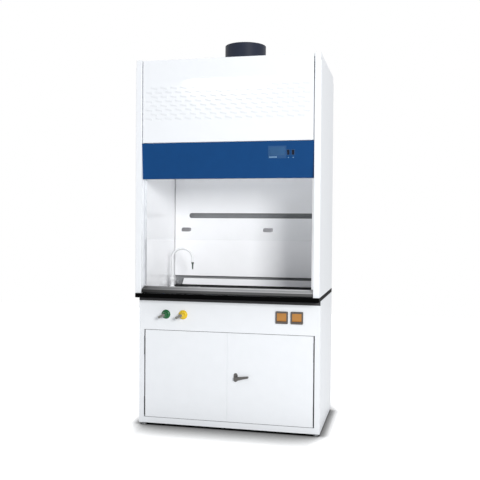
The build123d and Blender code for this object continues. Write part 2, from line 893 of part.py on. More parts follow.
for name, x in zip(["left", "right"], outlet_places):
    with BuildPart() as flap:
        with BuildSketch(Plane.YZ.offset(x - window_half + flap_side_gap)):
            with BuildLine():
                skin = flap_axis_y - flap_thickness / 2
                rear = flap_axis_y + flap_thickness / 2
                crown = (flap_axis_y, flap_axis_z + flap_thickness / 2)
                foot = window_low + flap_grip
                face_line = Line((skin, flap_axis_z), (skin, foot + flap_grip))
                grip_line = Line(face_line @ 1, (skin - flap_grip, foot + flap_grip / 2))
                nose_line = Line(grip_line @ 1, (skin - flap_grip, foot))
                foot_line = Line(nose_line @ 1, (rear, foot))
                rear_line = Line(foot_line @ 1, (rear, flap_axis_z))
                ThreePointArc(rear_line @ 1, crown, face_line @ 0)
            make_face()
        extrude(amount=outlet_window_width - 2 * flap_side_gap)
        with BuildSketch(Plane.YZ.offset(x - window_half - flap_pin_reach)):
            with Locations((flap_axis_y, flap_axis_z)):
                Circle(flap_pin_radius)
        extrude(amount=outlet_window_width + 2 * flap_pin_reach)
    save(flap, f"{name}_outlet_flap")

# Side panels: one folded sheet each makes the front post, the outer skin and the rear flange,
# with a shoulder below the top where the skin steps inwards
with BuildPart() as right_side_panel:
    for low, high, skin in (
        (worktop_height, shoulder, half),
        (shoulder, height, half - shoulder_step),
    ):
        fold(
            Plane.XY.offset(low),
            [
                (inner, front + post_return),
                (inner, front),
                (skin, front),
                (skin, back - sheet),
                (skin - rear_flange, back - sheet),
            ],
            high - low,
        )
    plate(
        Plane.XY.offset(shoulder - sheet),
        half - shoulder_step - sheet,
        half - sheet / 2,
        front + bend,
        back - sheet - bend,
        sheet,
    )
    plate(
        Plane.XY.offset(height - sheet),
        inner + sheet / 2,
        half - shoulder_step - sheet / 2,
        front + sheet / 2,
        front + post_return,
        sheet,
    )
save(right_side_panel, "right_side_panel")

with BuildPart() as left_side_panel:
    mirror(right_side_panel.part, about=Plane.YZ)
save(left_side_panel, "left_side_panel")

# Rear panel: a flat sheet with its top and bottom edges turned inwards between the side flanges
rear_half = half - shoulder_step - rear_flange - sheet
with BuildPart() as rear_panel:
    plate(facing(back), -half + shoulder_step, half - shoulder_step, worktop_height, height, sheet)
    for z in (worktop_height, height - sheet):
        plate(Plane.XY.offset(z), -rear_half, rear_half, back - rear_flange, back - sheet / 2, sheet)
save(rear_panel, "rear_panel")

# Roof: a tray let in below the top edge, its sides turned up, with the hole for the exhaust collar
roof_half = half - shoulder_step - sheet
tongue = front + panel_recess + sheet + panel_return
with BuildPart() as roof_panel:
    with BuildSketch(Plane.XY.offset(roof_height - sheet)):
        with Locations((0, (front + post_return + back - sheet - bend) / 2)):
            Rectangle(2 * roof_half, back - front - post_return - sheet - bend)
        with Locations((0, (tongue + front + post_return) / 2)):
            Rectangle(2 * (inner - sheet), front + post_return - tongue)
        with Locations((0, collar_y)):
            Circle(collar_radius + fit_gap, mode=Mode.SUBTRACT)
    extrude(amount=sheet)
    for side in (-1, 1):
        plate(
            Plane.XY.offset(roof_height),
            min(side * roof_half, side * (roof_half - sheet)),
            max(side * roof_half, side * (roof_half - sheet)),
            front + post_return + bend,
            back - rear_flange,
            roof_flange,
        )
    plate(Plane.XY.offset(roof_height), sheet - inner, inner - sheet, tongue, tongue + sheet, roof_flange)
save(roof_panel, "roof_panel")

# Exhaust collar: a thin tube through the roof down to the chamber ceiling, with a flange on the roof
with BuildPart() as exhaust_collar:
    with BuildSketch(Plane.XY.offset(ceiling_height + liner)):
        with Locations((0, collar_y)):
            Circle(collar_radius)
            Circle(collar_radius - collar_wall, mode=Mode.SUBTRACT)
    extrude(amount=collar_top - ceiling_height - liner)
    with BuildSketch(Plane.XY.offset(roof_height)):
        with Locations((0, collar_y)):
            Circle(collar_radius + collar_flange)
            Circle(collar_radius - collar_wall, mode=Mode.SUBTRACT)
    extrude(amount=2 * sheet)
save(exhaust_collar, "exhaust_collar")

# Upper front panel: a folded tray between the posts with staggered rows of slanted air slots
panel_half = inner - panel_gap
panel_bottom = fascia_top + panel_edge_gap
panel_top = height - panel_edge_gap
panel_back = front + panel_recess + sheet
vent_places = [
    (
        (column - (vent_columns - 1) / 2 + (0.25 if row % 2 else -0.25)) * vent_pitch_x,
        vent_centre_height + (row - (vent_rows - 1) / 2) * vent_pitch_z,
    )
    for row in range(vent_rows)
    for column in range(vent_columns)
]

# One pressed hood, drawn with X along its slot and Z outwards: a slanted wall that rises from the slot's
# lower edge to a free upper edge, between two three-cornered cheeks
hood_edge = vent_slot / 2 + louvre_wall
with BuildPart() as louvre:
    for wall, mode in ((0.0, Mode.ADD), (louvre_wall, Mode.SUBTRACT)):
        with BuildSketch(Plane.YZ.offset(wall - vent_length / 2 - louvre_wall)):
            with BuildLine():
                Polyline(
                    (-hood_edge, -wall),
                    (hood_edge, -wall),
                    (hood_edge, louvre_reach - wall),
                    close=True,
                )
            make_face()
        extrude(amount=vent_length + 2 * (louvre_wall - wall), mode=mode)
tilted_hood = louvre.part.rotate(Axis.Z, vent_tilt)

with BuildPart() as upper_front_panel:
    with BuildSketch(facing(panel_back)):
        with Locations((0, (panel_bottom + panel_top) / 2)):
            Rectangle(2 * panel_half, panel_top - panel_bottom)
        with Locations(*vent_places):
            Rectangle(vent_length, vent_slot, rotation=vent_tilt, mode=Mode.SUBTRACT)
    extrude(amount=sheet)
    with BuildSketch(facing(panel_back)):
        with Locations((0, (panel_bottom + panel_top) / 2)):
            Rectangle(2 * panel_half, panel_top - panel_bottom)
            Rectangle(2 * (panel_half - sheet), panel_top - panel_bottom - 2 * sheet, mode=Mode.SUBTRACT)
    extrude(amount=-panel_return)
    with Locations(facing(front + panel_recess)):
        with Locations(*vent_places):
            add(tilted_hood)
save(upper_front_panel, "upper_front_panel")

# Control fascia: a slanted folded sheet with closed ends and cut-outs for the display and the switches
fascia_half = inner
fascia_rise = fascia_top - fascia_bottom
fascia_lean = fascia_bottom_recess - fascia_top_recess
fascia_slope = hypot(fascia_rise, fascia_lean)
face_plane = Plane(
    origin=(0, front + (fascia_top_recess + fascia_bottom_recess) / 2, (fascia_top + fascia_bottom) / 2),
    x_dir=(1, 0, 0),
    z_dir=(0, -fascia_rise / fascia_slope, -fascia_lean / fascia_slope),
)
fascia_corners = [
    (front + fascia_reach, fascia_top),
    (front + fascia_top_recess, fascia_top),
    (front + fascia_bottom_recess, fascia_bottom),
    (front + fascia_reach, fascia_bottom),
]
cutout_width = switch_width + 2 * switch_side_wall
cutout_height = switch_height + 2 * switch_end_wall
with BuildPart() as control_fascia:
    fold(Plane.YZ.offset(-fascia_half), fascia_corners, 2 * fascia_half)
    for x in (-fascia_half, fascia_half - sheet):
        with BuildSketch(Plane.YZ.offset(x)):
            with BuildLine():
                Polyline(*[(min(y + sheet, front + fascia_reach), z) for y, z in fascia_corners], close=True)
            make_face()
        extrude(amount=sheet)
    with BuildSketch(face_plane):
        with Locations((display_x, display_rise)):
            Rectangle(display_width - 2 * display_lap, display_height - 2 * display_lap)
        with Locations(*[(x, switch_rise) for x in switch_places]):
            Rectangle(cutout_width, cutout_height)
    extrude(amount=3 * sheet, both=True, mode=Mode.SUBTRACT)
save(control_fascia, "control_fascia")

# Control module: the display bezel with its housing, and a bezel with a well for each switch
well_width = switch_width + 2 * fit_gap
well_height = switch_height + switch_end_wall
housing_width = cutout_width - 2 * fit_gap
housing_height = cutout_height - 2 * fit_gap
with BuildPart() as control_module:
    with BuildSketch(face_plane):
        with Locations((display_x, display_rise)):
            RectangleRounded(display_width, display_height, bend)
    extrude(amount=bezel)
    with BuildSketch(face_plane.offset(bezel)):
        with Locations((display_x, display_rise + screen_rise)):
            RectangleRounded(screen_width, screen_height, bezel)
    extrude(amount=-screen_depth, mode=Mode.SUBTRACT)
    with BuildSketch(face_plane):
        with Locations((display_x, display_rise)):
            Rectangle(
                display_width - 2 * display_lap - 2 * fit_gap,
                display_height - 2 * display_lap - 2 * fit_gap,
            )
    extrude(amount=-display_housing)
    for x in switch_places:
        with BuildSketch(face_plane.offset(bezel)):
            with Locations((x, switch_rise)):
                RectangleRounded(switch_width + 2 * switch_lap, switch_height + 2 * switch_lap + bezel, bezel)
                Rectangle(well_width, well_height, mode=Mode.SUBTRACT)
        extrude(amount=-bezel)
        with BuildSketch(face_plane):
            with Locations((x, switch_rise)):
                Rectangle(housing_width, housing_height)
                Rectangle(well_width, well_height, mode=Mode.SUBTRACT)
        extrude(amount=-rocker_well)
        with BuildSketch(face_plane.offset(-rocker_well)):
            with Locations((x, switch_rise)):
                Rectangle(housing_width, housing_height)
        extrude(amount=-bezel)
        pivot = face_plane.from_local_coords(Vector(x, switch_rise, -rocker_depth))
        rod(
            Plane.YZ.offset(x - switch_width / 2 - bezel),
            pivot.Y,
            pivot.Z,
            rocker_pin_radius + running_gap,
            switch_width + 2 * bezel,
            mode=Mode.SUBTRACT,
        )
save(control_module, "control_module")

# Rockers: shallow V-shaped caps on pivot pins, each shown tipped to the side that is off
for name, x in zip(["fan", "lamp"], switch_places):
    pivot = face_plane.from_local_coords(Vector(x, switch_rise, -rocker_depth))
    tilt = radians(switch_tilt)
    along = face_plane.y_dir * cos(tilt) + face_plane.z_dir * sin(tilt)
    rocker_plane = Plane(origin=pivot - Vector(switch_width / 2, 0, 0), x_dir=along, z_dir=(1, 0, 0))
    reach = switch_height / 2
    crown = rocker_depth + bezel / 2
    with BuildPart() as rocker:
        with BuildSketch(rocker_plane):
            with BuildLine():
                Polyline(
                    (-reach, crown + reach * sin(tilt)),
                    (0, crown),
                    (reach, crown + reach * sin(tilt)),
                    (reach, -rocker_edge),
                    (rocker_foot, -rocker_depth),
                    (-rocker_foot, -rocker_depth),
                    (-reach, -rocker_edge),
                    close=True,
                )
            make_face()
        extrude(amount=switch_width)
        with BuildSketch(rocker_plane.offset(-rocker_pin_length)):
            Circle(rocker_pin_radius)
        extrude(amount=switch_width + 2 * rocker_pin_length)
    save(rocker, f"{name}_switch")

# Inner linings: two sides, a back that carries the counterweight channels, and a ceiling
with BuildPart() as side_liners:
    for side in (-1, 1):
        with BuildSketch(Plane.XY.offset(worktop_height)):
            with Locations((side * (inner + liner / 2), (front + post_return + rear_liner_y) / 2)):
                Rectangle(liner, rear_liner_y - front - post_return)
        extrude(amount=ceiling_height - worktop_height)
save(side_liners, "side_liners")

channel_outer = weight_half_width + guide_clearance + channel_sheet
channel_bottom = weight_bottom - sash_rise - channel_overrun
channel_top = weight_bottom + weight_height + sash_drop + channel_overrun
with BuildPart() as rear_liner:
    plate(
        facing(rear_liner_y + liner),
        -inner - liner,
        inner + liner,
        worktop_height,
        ceiling_height,
        liner,
    )
    for side in (-1, 1):
        web = (side * channel_outer, side * (channel_outer - channel_sheet))
        flange = (side * channel_outer, side * (channel_outer - guide_reach + channel_sheet))
        depths = (rear_liner_y + liner, weight_y + weight_thickness / 2 + weight_clearance)
        for spread, low, high in (
            (web, depths[0], depths[1]),
            (flange, depths[0], weight_y - weight_thickness / 2 - weight_clearance),
            (flange, depths[1], depths[1] + channel_sheet),
        ):
            plate(
                Plane.XY.offset(channel_bottom),
                min(spread),
                max(spread),
                low,
                high,
                channel_top - channel_bottom,
            )
save(rear_liner, "rear_liner")

with BuildPart() as ceiling_liner:
    with BuildSketch(Plane.XY.offset(ceiling_height)):
        with Locations((0, (front + ceiling_front + rear_liner_y + liner) / 2)):
            Rectangle(2 * (inner + liner), rear_liner_y + liner - front - ceiling_front)
        with Locations((0, lamp_y)):
            Rectangle(2 * lamp_window_half, lamp_window_width, mode=Mode.SUBTRACT)
        with Locations((0, collar_y)):
            Circle(collar_radius - collar_wall, mode=Mode.SUBTRACT)
    extrude(amount=liner)
save(ceiling_liner, "ceiling_liner")

# Baffles: three panels ahead of the back lining that leave a slot at the bottom, the middle and the top
baffle_half = inner - baffle_side_gap
main_baffle_bottom = lower_baffle_top + lower_slot
with BuildPart() as main_baffle:
    with BuildSketch(facing(baffle_y + baffle_sheet)):
        with Locations((0, (main_baffle_bottom + main_baffle_top) / 2)):
            Rectangle(2 * baffle_half, main_baffle_top - main_baffle_bottom)
        with Locations(
            ((upper_slot_left + upper_slot_right) / 2, upper_slot_bottom + upper_slot_height / 2)
        ):
            SlotOverall(upper_slot_right - upper_slot_left, upper_slot_height, mode=Mode.SUBTRACT)
    extrude(amount=baffle_sheet)
save(main_baffle, "main_baffle")

slope_rise = sloped_baffle_top - main_baffle_top
slope_width = baffle_sheet * hypot(sloped_baffle_run, slope_rise) / slope_rise
sloped_y = baffle_y - sloped_baffle_run
with BuildPart() as upper_baffle:
    with BuildSketch(Plane.YZ.offset(-baffle_half)):
        with BuildLine():
            Polyline(
                (baffle_y, main_baffle_top),
                (baffle_y + slope_width, main_baffle_top),
                (sloped_y + slope_width, sloped_baffle_top),
                (sloped_y, sloped_baffle_top),
                close=True,
            )
        make_face()
    extrude(amount=2 * baffle_half)
save(upper_baffle, "upper_baffle")

with BuildPart() as lower_baffle:
    with BuildSketch(facing(baffle_y + baffle_sheet)):
        with BuildLine():
            Polyline(
                (-lower_baffle_half, lower_baffle_bottom),
                (lower_baffle_half, lower_baffle_bottom),
                (lower_baffle_half - lower_baffle_mitre, lower_baffle_top),
                (lower_baffle_mitre - lower_baffle_half, lower_baffle_top),
                close=True,
            )
        make_face()
    extrude(amount=baffle_sheet)
save(lower_baffle, "lower_baffle")

# Baffle brackets: folded stand-offs on the back lining, hangers from the ceiling and two corner lugs
baffle_back = baffle_y + baffle_sheet
hanger_bottom = sloped_baffle_top - hanger_height
hanger_y = sloped_y + (sloped_baffle_top - hanger_bottom) * sloped_baffle_run / slope_rise
with BuildPart() as baffle_brackets:
    for x in bracket_places:
        for z in bracket_heights:
            fold(
                Plane.YZ.offset(x - bracket_width / 2),
                [
                    (baffle_back, z + bracket_foot),
                    (baffle_back, z),
                    (rear_liner_y - sheet, z),
                    (rear_liner_y - sheet, z - bracket_foot),
                ],
                bracket_width,
                side=Side.LEFT,
            )
    for x in bracket_places:
        with BuildSketch(Plane.YZ.offset(x - sheet / 2)):
            with BuildLine():
                Polyline(
                    (sloped_y + slope_width, sloped_baffle_top),
                    (hanger_y + slope_width, hanger_bottom),
                    (hanger_y + slope_width + bracket_foot, hanger_bottom),
                    (hanger_y + slope_width + bracket_foot, ceiling_height),
                    (sloped_y + slope_width, ceiling_height),
                    close=True,
                )
            make_face()
        extrude(amount=sheet)
    for side in (-1, 1):
        plate(
            facing(rear_liner_y),
            side * corner_lug_x - corner_lug_width / 2,
            side * corner_lug_x + corner_lug_width / 2,
            corner_lug_bottom,
            corner_lug_bottom + corner_lug_rise,
            rear_liner_y - baffle_back,
        )
save(baffle_brackets, "baffle_brackets")

# Sash: a pane in a top rail and two edge runners, with two cup pulls on its face
runner_inner = glass_half_width - runner_cover
runner_outer = inner - sheet - guide_clearance
runner_half = guide_gap / 2 - guide_clearance
with BuildPart() as sash_glass:
    plate(
        facing(sash_y + glass_thickness / 2),
        -glass_half_width,
        glass_half_width,
        sash_edge,
        glass_top,
        glass_thickness,
    )
save(sash_glass, "sash_glass")

with BuildPart() as sash_rails:
    plate(
        facing(sash_y + rail_thickness / 2),
        -runner_inner,
        runner_inner,
        rail_top - rail_height,
        rail_top,
        rail_thickness,
    )
    for side in (-1, 1):
        plate(
            facing(sash_y + runner_half),
            min(side * runner_inner, side * runner_outer),
            max(side * runner_inner, side * runner_outer),
            sash_edge,
            rail_top,
            2 * runner_half,
        )
        plate(
            facing(sash_y + lug_thickness / 2),
            side * cable_x - lug_half,
            side * cable_x + lug_half,
            rail_top,
            rail_top + lug_height,
            lug_thickness,
        )
    plate(
        facing(sash_y + glass_thickness / 2),
        -glass_half_width,
        glass_half_width,
        sash_edge,
        glass_top,
        glass_thickness,
        mode=Mode.SUBTRACT,
    )
save(sash_rails, "sash_rails")

pull_bottom = sash_edge + pull_rise
pull_back = sash_y - glass_thickness / 2
with BuildPart() as sash_pulls:
    for side in (-1, 1):
        x = side * pull_spacing
        plate(
            facing(pull_back),
            x - pull_width / 2,
            x + pull_width / 2,
            pull_bottom,
            pull_bottom + pull_height,
            pull_depth,
        )
    outer_rims = sash_pulls.faces().sort_by(Axis.Y)[0:2]
    fillet([edge for face in outer_rims for edge in face.outer_wire().edges()], pull_wall)
    for side in (-1, 1):
        x = side * pull_spacing
        plate(
            facing(pull_back),
            x - pull_width / 2 + pull_wall,
            x + pull_width / 2 - pull_wall,
            pull_bottom - pull_wall,
            pull_bottom + pull_height - pull_wall,
            pull_depth - pull_wall,
            mode=Mode.SUBTRACT,
        )
save(sash_pulls, "sash_pulls")

# Guides: a channel on each post in which the edge runners slide
guide_bottom = sill_top + guide_overrun
with BuildPart() as sash_guides:
    for side in (-1, 1):
        corners = [
            (side * (inner - guide_reach), sash_y - guide_gap / 2 - sheet),
            (side * inner, sash_y - guide_gap / 2 - sheet),
            (side * inner, sash_y + guide_gap / 2 + sheet),
            (side * (inner - guide_reach), sash_y + guide_gap / 2 + sheet),
        ]
        fold(
            Plane.XY.offset(guide_bottom),
            corners,
            guide_top - guide_bottom,
            side=Side.LEFT if side > 0 else Side.RIGHT,
            radius=sheet + running_gap,
        )
save(sash_guides, "sash_guides")

# Suspension: cables from the sash run over front wheels, back under the roof, and down over rear wheels
pulley_y = (sash_y + pulley_radius, weight_y - pulley_radius)
cable_height = pulley_height + pulley_radius
with BuildPart() as sash_cables:
    for x in (-cable_x, cable_x):
        with BuildLine(Plane.YZ.offset(x)) as run:
            CenterArc((pulley_y[0], pulley_height), pulley_radius, 180, -90)
            Line((pulley_y[0], cable_height), (pulley_y[1], cable_height))
            CenterArc((pulley_y[1], pulley_height), pulley_radius, 90, -90)
        with BuildSketch(Plane.XY.offset(pulley_height)):
            with Locations((x, sash_y)):
                Circle(cable_radius)
        sweep(path=run.wires()[0])
save(sash_cables, "sash_cables")

for name, y, foot in (
    ("sash_cable_legs", sash_y, rail_top + lug_height),
    ("weight_cable_legs", weight_y, weight_top + lug_height),
):
    with BuildPart() as cable_legs:
        for x in (-cable_x, cable_x):
            rod(Plane.XY.offset(foot), x, y, cable_radius, pulley_height - foot)
    save(cable_legs, name)

for name, y in zip(["front_pulleys", "rear_pulleys"], pulley_y):
    with BuildPart() as pulleys:
        for x in (-cable_x, cable_x):
            with BuildSketch(Plane(origin=(x, y, pulley_height), x_dir=(0, 1, 0), z_dir=(0, 0, 1))):
                with BuildLine():
                    Polyline(
                        (axle_radius + running_gap, -pulley_width / 2),
                        (pulley_rim, -pulley_width / 2),
                        (pulley_rim, pulley_rim_edge - pulley_width / 2),
                        (groove_radius, -groove_width / 2),
                        (groove_radius, groove_width / 2),
                        (pulley_rim, pulley_width / 2 - pulley_rim_edge),
                        (pulley_rim, pulley_width / 2),
                        (axle_radius + running_gap, pulley_width / 2),
                        close=True,
                    )
                make_face()
            revolve(axis=Axis((x, y, pulley_height), (1, 0, 0)))
            with BuildSketch(Plane.YZ.offset(x - pulley_width / 2)):
                with Locations((y, pulley_height)):
                    with PolarLocations((axle_radius + groove_radius) / 2, web_holes):
                        Circle(web_hole_radius)
            extrude(amount=pulley_width, mode=Mode.SUBTRACT)
    save(pulleys, name)

roof_under = roof_height - sheet
cheek_inner = pulley_width / 2 + cheek_gap
with BuildPart() as pulley_brackets:
    for x in (-cable_x, cable_x):
        for y in pulley_y:
            for side in (-1, 1):
                cheek = x + side * (cheek_inner + bracket_wall / 2)
                plate(
                    Plane.YZ.offset(cheek - bracket_wall / 2),
                    y - cheek_half,
                    y + cheek_half,
                    pulley_height - cheek_half,
                    roof_under,
                    bracket_wall,
                )
            plate(
                Plane.XY.offset(roof_under - bracket_wall),
                x - cheek_inner - bracket_wall,
                x + cheek_inner + bracket_wall,
                y - cheek_half,
                y + cheek_half,
                bracket_wall,
            )
            rod(
                Plane.YZ.offset(x - cheek_inner - 2 * bracket_wall),
                y,
                pulley_height,
                axle_radius,
                2 * cheek_inner + 4 * bracket_wall,
            )
save(pulley_brackets, "pulley_brackets")

with BuildPart() as counterweight:
    plate(
        facing(weight_y + weight_thickness / 2),
        -weight_half_width,
        weight_half_width,
        weight_bottom,
        weight_top,
        weight_thickness,
    )
    for x in (-cable_x, cable_x):
        plate(
            facing(weight_y + lug_thickness / 2),
            x - lug_half,
            x + lug_half,
            weight_top,
            weight_top + lug_height,
            lug_thickness,
        )
save(counterweight, "counterweight")

# Lamp: a tray over the ceiling window, a tube between two holders and a pane over the window
lamp_bottom = ceiling_height + liner
lamp_back = lamp_y + lamp_width / 2
tube_height = lamp_bottom + lamp_height / 2 + lamp_lens_thickness / 2
with BuildPart() as lamp_housing:
    plate(
        Plane.XY.offset(lamp_bottom),
        -lamp_half_length,
        lamp_half_length,
        lamp_y - lamp_width / 2,
        lamp_back,
        lamp_height,
    )
    plate(
        Plane.XY.offset(lamp_bottom),
        sheet - lamp_half_length,
        lamp_half_length - sheet,
        lamp_y - lamp_width / 2 + sheet,
        lamp_back - sheet,
        lamp_height - sheet,
        mode=Mode.SUBTRACT,
    )
    for side in (-1, 1):
        plate(
            Plane.YZ.offset(min(side * tube_half_length, side * (lamp_half_length - sheet))),
            lamp_y - tube_radius,
            lamp_y + tube_radius,
            tube_height - tube_radius,
            lamp_bottom + lamp_height - sheet,
            lamp_half_length - sheet - tube_half_length,
        )
save(lamp_housing, "lamp_housing")

with BuildPart() as lamp_tube:
    rod(Plane.YZ.offset(-tube_half_length), lamp_y, tube_height, tube_radius, 2 * tube_half_length)
save(lamp_tube, "lamp_tube")

with BuildPart() as lamp_lens:
    plate(
        Plane.XY.offset(lamp_bottom),
        -lamp_window_half - lens_overlap,
        lamp_window_half + lens_overlap,
        lamp_y - lamp_window_width / 2 - lens_overlap,
        lamp_y + lamp_window_width / 2 + lens_overlap,
        lamp_lens_thickness,
    )
save(lamp_lens, "lamp_lens")
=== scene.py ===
# %% [markdown]
# # A laboratory fume hood
# The hood is a steel cabinet with a glass sash, a black worktop and a cupboard below.
# Its solids come in as a fixed frame, in metres, with X to the user's right, Y from front to back and Z up.
# This script paints the frame, and models by formula the turned and bent pieces that the eye rests on.

# %% Load the frame
import json
import bmesh
import bpy
import numpy as np
from mathutils import Matrix, Vector


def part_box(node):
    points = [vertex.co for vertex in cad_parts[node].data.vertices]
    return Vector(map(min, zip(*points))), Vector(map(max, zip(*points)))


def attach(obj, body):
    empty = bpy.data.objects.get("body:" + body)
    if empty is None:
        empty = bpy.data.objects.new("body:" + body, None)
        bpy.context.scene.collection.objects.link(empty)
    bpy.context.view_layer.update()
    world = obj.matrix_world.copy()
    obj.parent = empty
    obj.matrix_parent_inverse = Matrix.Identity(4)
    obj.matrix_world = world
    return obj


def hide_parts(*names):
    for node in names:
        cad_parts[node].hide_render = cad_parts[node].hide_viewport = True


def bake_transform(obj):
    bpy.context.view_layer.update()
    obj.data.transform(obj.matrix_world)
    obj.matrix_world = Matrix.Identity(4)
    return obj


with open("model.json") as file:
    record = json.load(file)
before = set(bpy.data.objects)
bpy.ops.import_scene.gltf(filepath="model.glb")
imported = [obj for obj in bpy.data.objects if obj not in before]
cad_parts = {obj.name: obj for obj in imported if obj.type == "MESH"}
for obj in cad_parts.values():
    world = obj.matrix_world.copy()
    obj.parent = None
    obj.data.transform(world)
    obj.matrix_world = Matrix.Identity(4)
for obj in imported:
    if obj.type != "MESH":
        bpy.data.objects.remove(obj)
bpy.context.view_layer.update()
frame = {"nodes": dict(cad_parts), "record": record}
nodes = frame["nodes"]

# %% [markdown]
# ## The camera
# The straight edges of the photograph fix a pinhole camera: where it stands, how far it turns and tilts,
# and how long its lens is. A camera looks along its own minus Z, so its matrix has the right, up and backward
# directions as columns. Building that matrix from angles keeps the three directions square to each other.

# %% Camera at the photograph's angle
camera_place = Vector((1.10274, -4.75979, 1.32468))
turn, tilt, roll = np.radians((12.91, 1.18, 0.4))
focal_in_pixels, image_size, sensor = 715.78, 480, 36.0

forward = Vector((-np.sin(turn) * np.cos(tilt), np.cos(turn) * np.cos(tilt), -np.sin(tilt)))
level_right = Vector((np.cos(turn), np.sin(turn), 0))
level_up = level_right.cross(forward)
right = np.cos(roll) * level_right + np.sin(roll) * level_up
up = np.cos(roll) * level_up - np.sin(roll) * level_right

camera_data = bpy.data.cameras.new("camera")
camera_data.sensor_width = sensor
camera_data.lens = focal_in_pixels / image_size * sensor
camera = bpy.data.objects.new("camera", camera_data)
camera.matrix_world = Matrix.Translation(camera_place) @ Matrix((right, up, -forward)).transposed().to_4x4()
bpy.context.scene.collection.objects.link(camera)
bpy.context.scene.camera = camera
print("lens of", round(camera_data.lens, 2), "mm")

# %% [markdown]
# ## Meshes from formulas
# Every new piece is a surface worked out on a grid of two parameters. Neighbouring grid points make the quads,
# a closed direction joins its last line to its first, and points that fall together at a pole are merged.
# Whole arrays go into the mesh at once, which is quicker and clearer than adding points one by one.


# %% Helpers for grids
def grid_faces(rows, columns, close_rows=False, close_columns=False):
    """Quads between neighbours of a grid of rows x columns points, numbered row by row."""
    row, column = np.meshgrid(
        np.arange(rows if close_rows else rows - 1),
        np.arange(columns if close_columns else columns - 1),
        indexing="ij",
    )
    next_row, next_column = (row + 1) % rows, (column + 1) % columns
    corners = (row * columns + column, row * columns + next_column,
               next_row * columns + next_column, next_row * columns + column)
    return np.stack(corners, -1).reshape(-1, 4)


def make_piece(name, points, faces, body, slot, replaces=(), smooth_angle=40):
    """A finished piece: its mesh, with merged doubles and outward faces, riding on a body in a finish. A finish
    that is only this script's is no slot of the record, so it isn't declared."""
    mesh = bpy.data.meshes.new(name)
    corner_lists = [[int(corner) for corner in face] for face in faces]
    mesh.from_pydata(np.asarray(points).reshape(-1, 3).tolist(), [], corner_lists)
    shape = bmesh.new()
    shape.from_mesh(mesh)
    bmesh.ops.remove_doubles(shape, verts=shape.verts, dist=1e-6)
    bmesh.ops.dissolve_degenerate(shape, dist=1e-6, edges=shape.edges)
    bmesh.ops.recalc_face_normals(shape, faces=shape.faces)
    shape.to_mesh(mesh)
    shape.free()
    mesh.shade_smooth()
    mesh.set_sharp_from_angle(angle=np.radians(smooth_angle))
    piece = bpy.data.objects.new(name, mesh)
    bpy.context.scene.collection.objects.link(piece)
    mesh.materials.append(finishes[slot])
    if body:
        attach(piece, body)
    if replaces:
        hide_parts(*replaces)
    print(name, "has", len(mesh.polygons), "faces")
    return piece


def joined(parts):
    """Several (points, faces) shapes as one, with the corner numbers shifted past the shapes before."""
    points, faces, start = [], [], 0
    for part_points, part_faces in parts:
        flat = np.asarray(part_points).reshape(-1, 3)
        points.append(flat)
        faces.extend([int(corner) + start for corner in face] for face in part_faces)
        start += len(flat)
    return np.concatenate(points), faces


def rounded_box(low, high, radius, steps=3):
    """A box with rounded edges: the point of direction n is radius * n + sign(n) * (half size - radius), from the
    box's centre. The sphere of directions is cut into eight parts, whose seams pull apart into the flat faces."""
    low, high = np.asarray(low, float), np.asarray(high, float)
    half = (high - low) / 2
    radius = min(radius, half.min() * 0.98)
    quarter = np.linspace(0, np.pi / 2, steps + 1)
    across = np.concatenate([quarter + k * np.pi / 2 for k in range(4)])
    across_sign = np.repeat([(1, 1), (-1, 1), (-1, -1), (1, -1)], steps + 1, axis=0)
    rise = np.concatenate([quarter - np.pi / 2, quarter])
    rise_sign = np.repeat([-1, 1], steps + 1)
    core = half - radius
    x = across_sign[None, :, 0] * core[0] + radius * np.cos(rise)[:, None] * np.cos(across)[None]
    y = across_sign[None, :, 1] * core[1] + radius * np.cos(rise)[:, None] * np.sin(across)[None]
    z = np.repeat((rise_sign * core[2] + radius * np.sin(rise))[:, None], len(across), 1)
    shell = np.stack([x, y, z], -1)
    caps = [np.broadcast_to((0, 0, end * half[2]), shell[:1].shape) for end in (-1, 1)]
    points = np.concatenate([caps[0], shell, caps[1]]) + (low + high) / 2
    return points.reshape(-1, 3), grid_faces(len(points), len(across), close_columns=True)


# %% [markdown]
# ## Finishes
# Powder-coated steel is a dielectric: it has a soft highlight and no colour in it. A very fine noise in the bump
# gives its orange-peel skin, and a slow noise lets the colour and the gloss wander a little, as they do on every
# real part. Each finish is set once, by the name of the record's slot, and every node takes the finish of its
# slot. Values that are the same all over a surface go straight onto the shader's sockets.


# %% Helper for one finish
slow_waves = 14.0


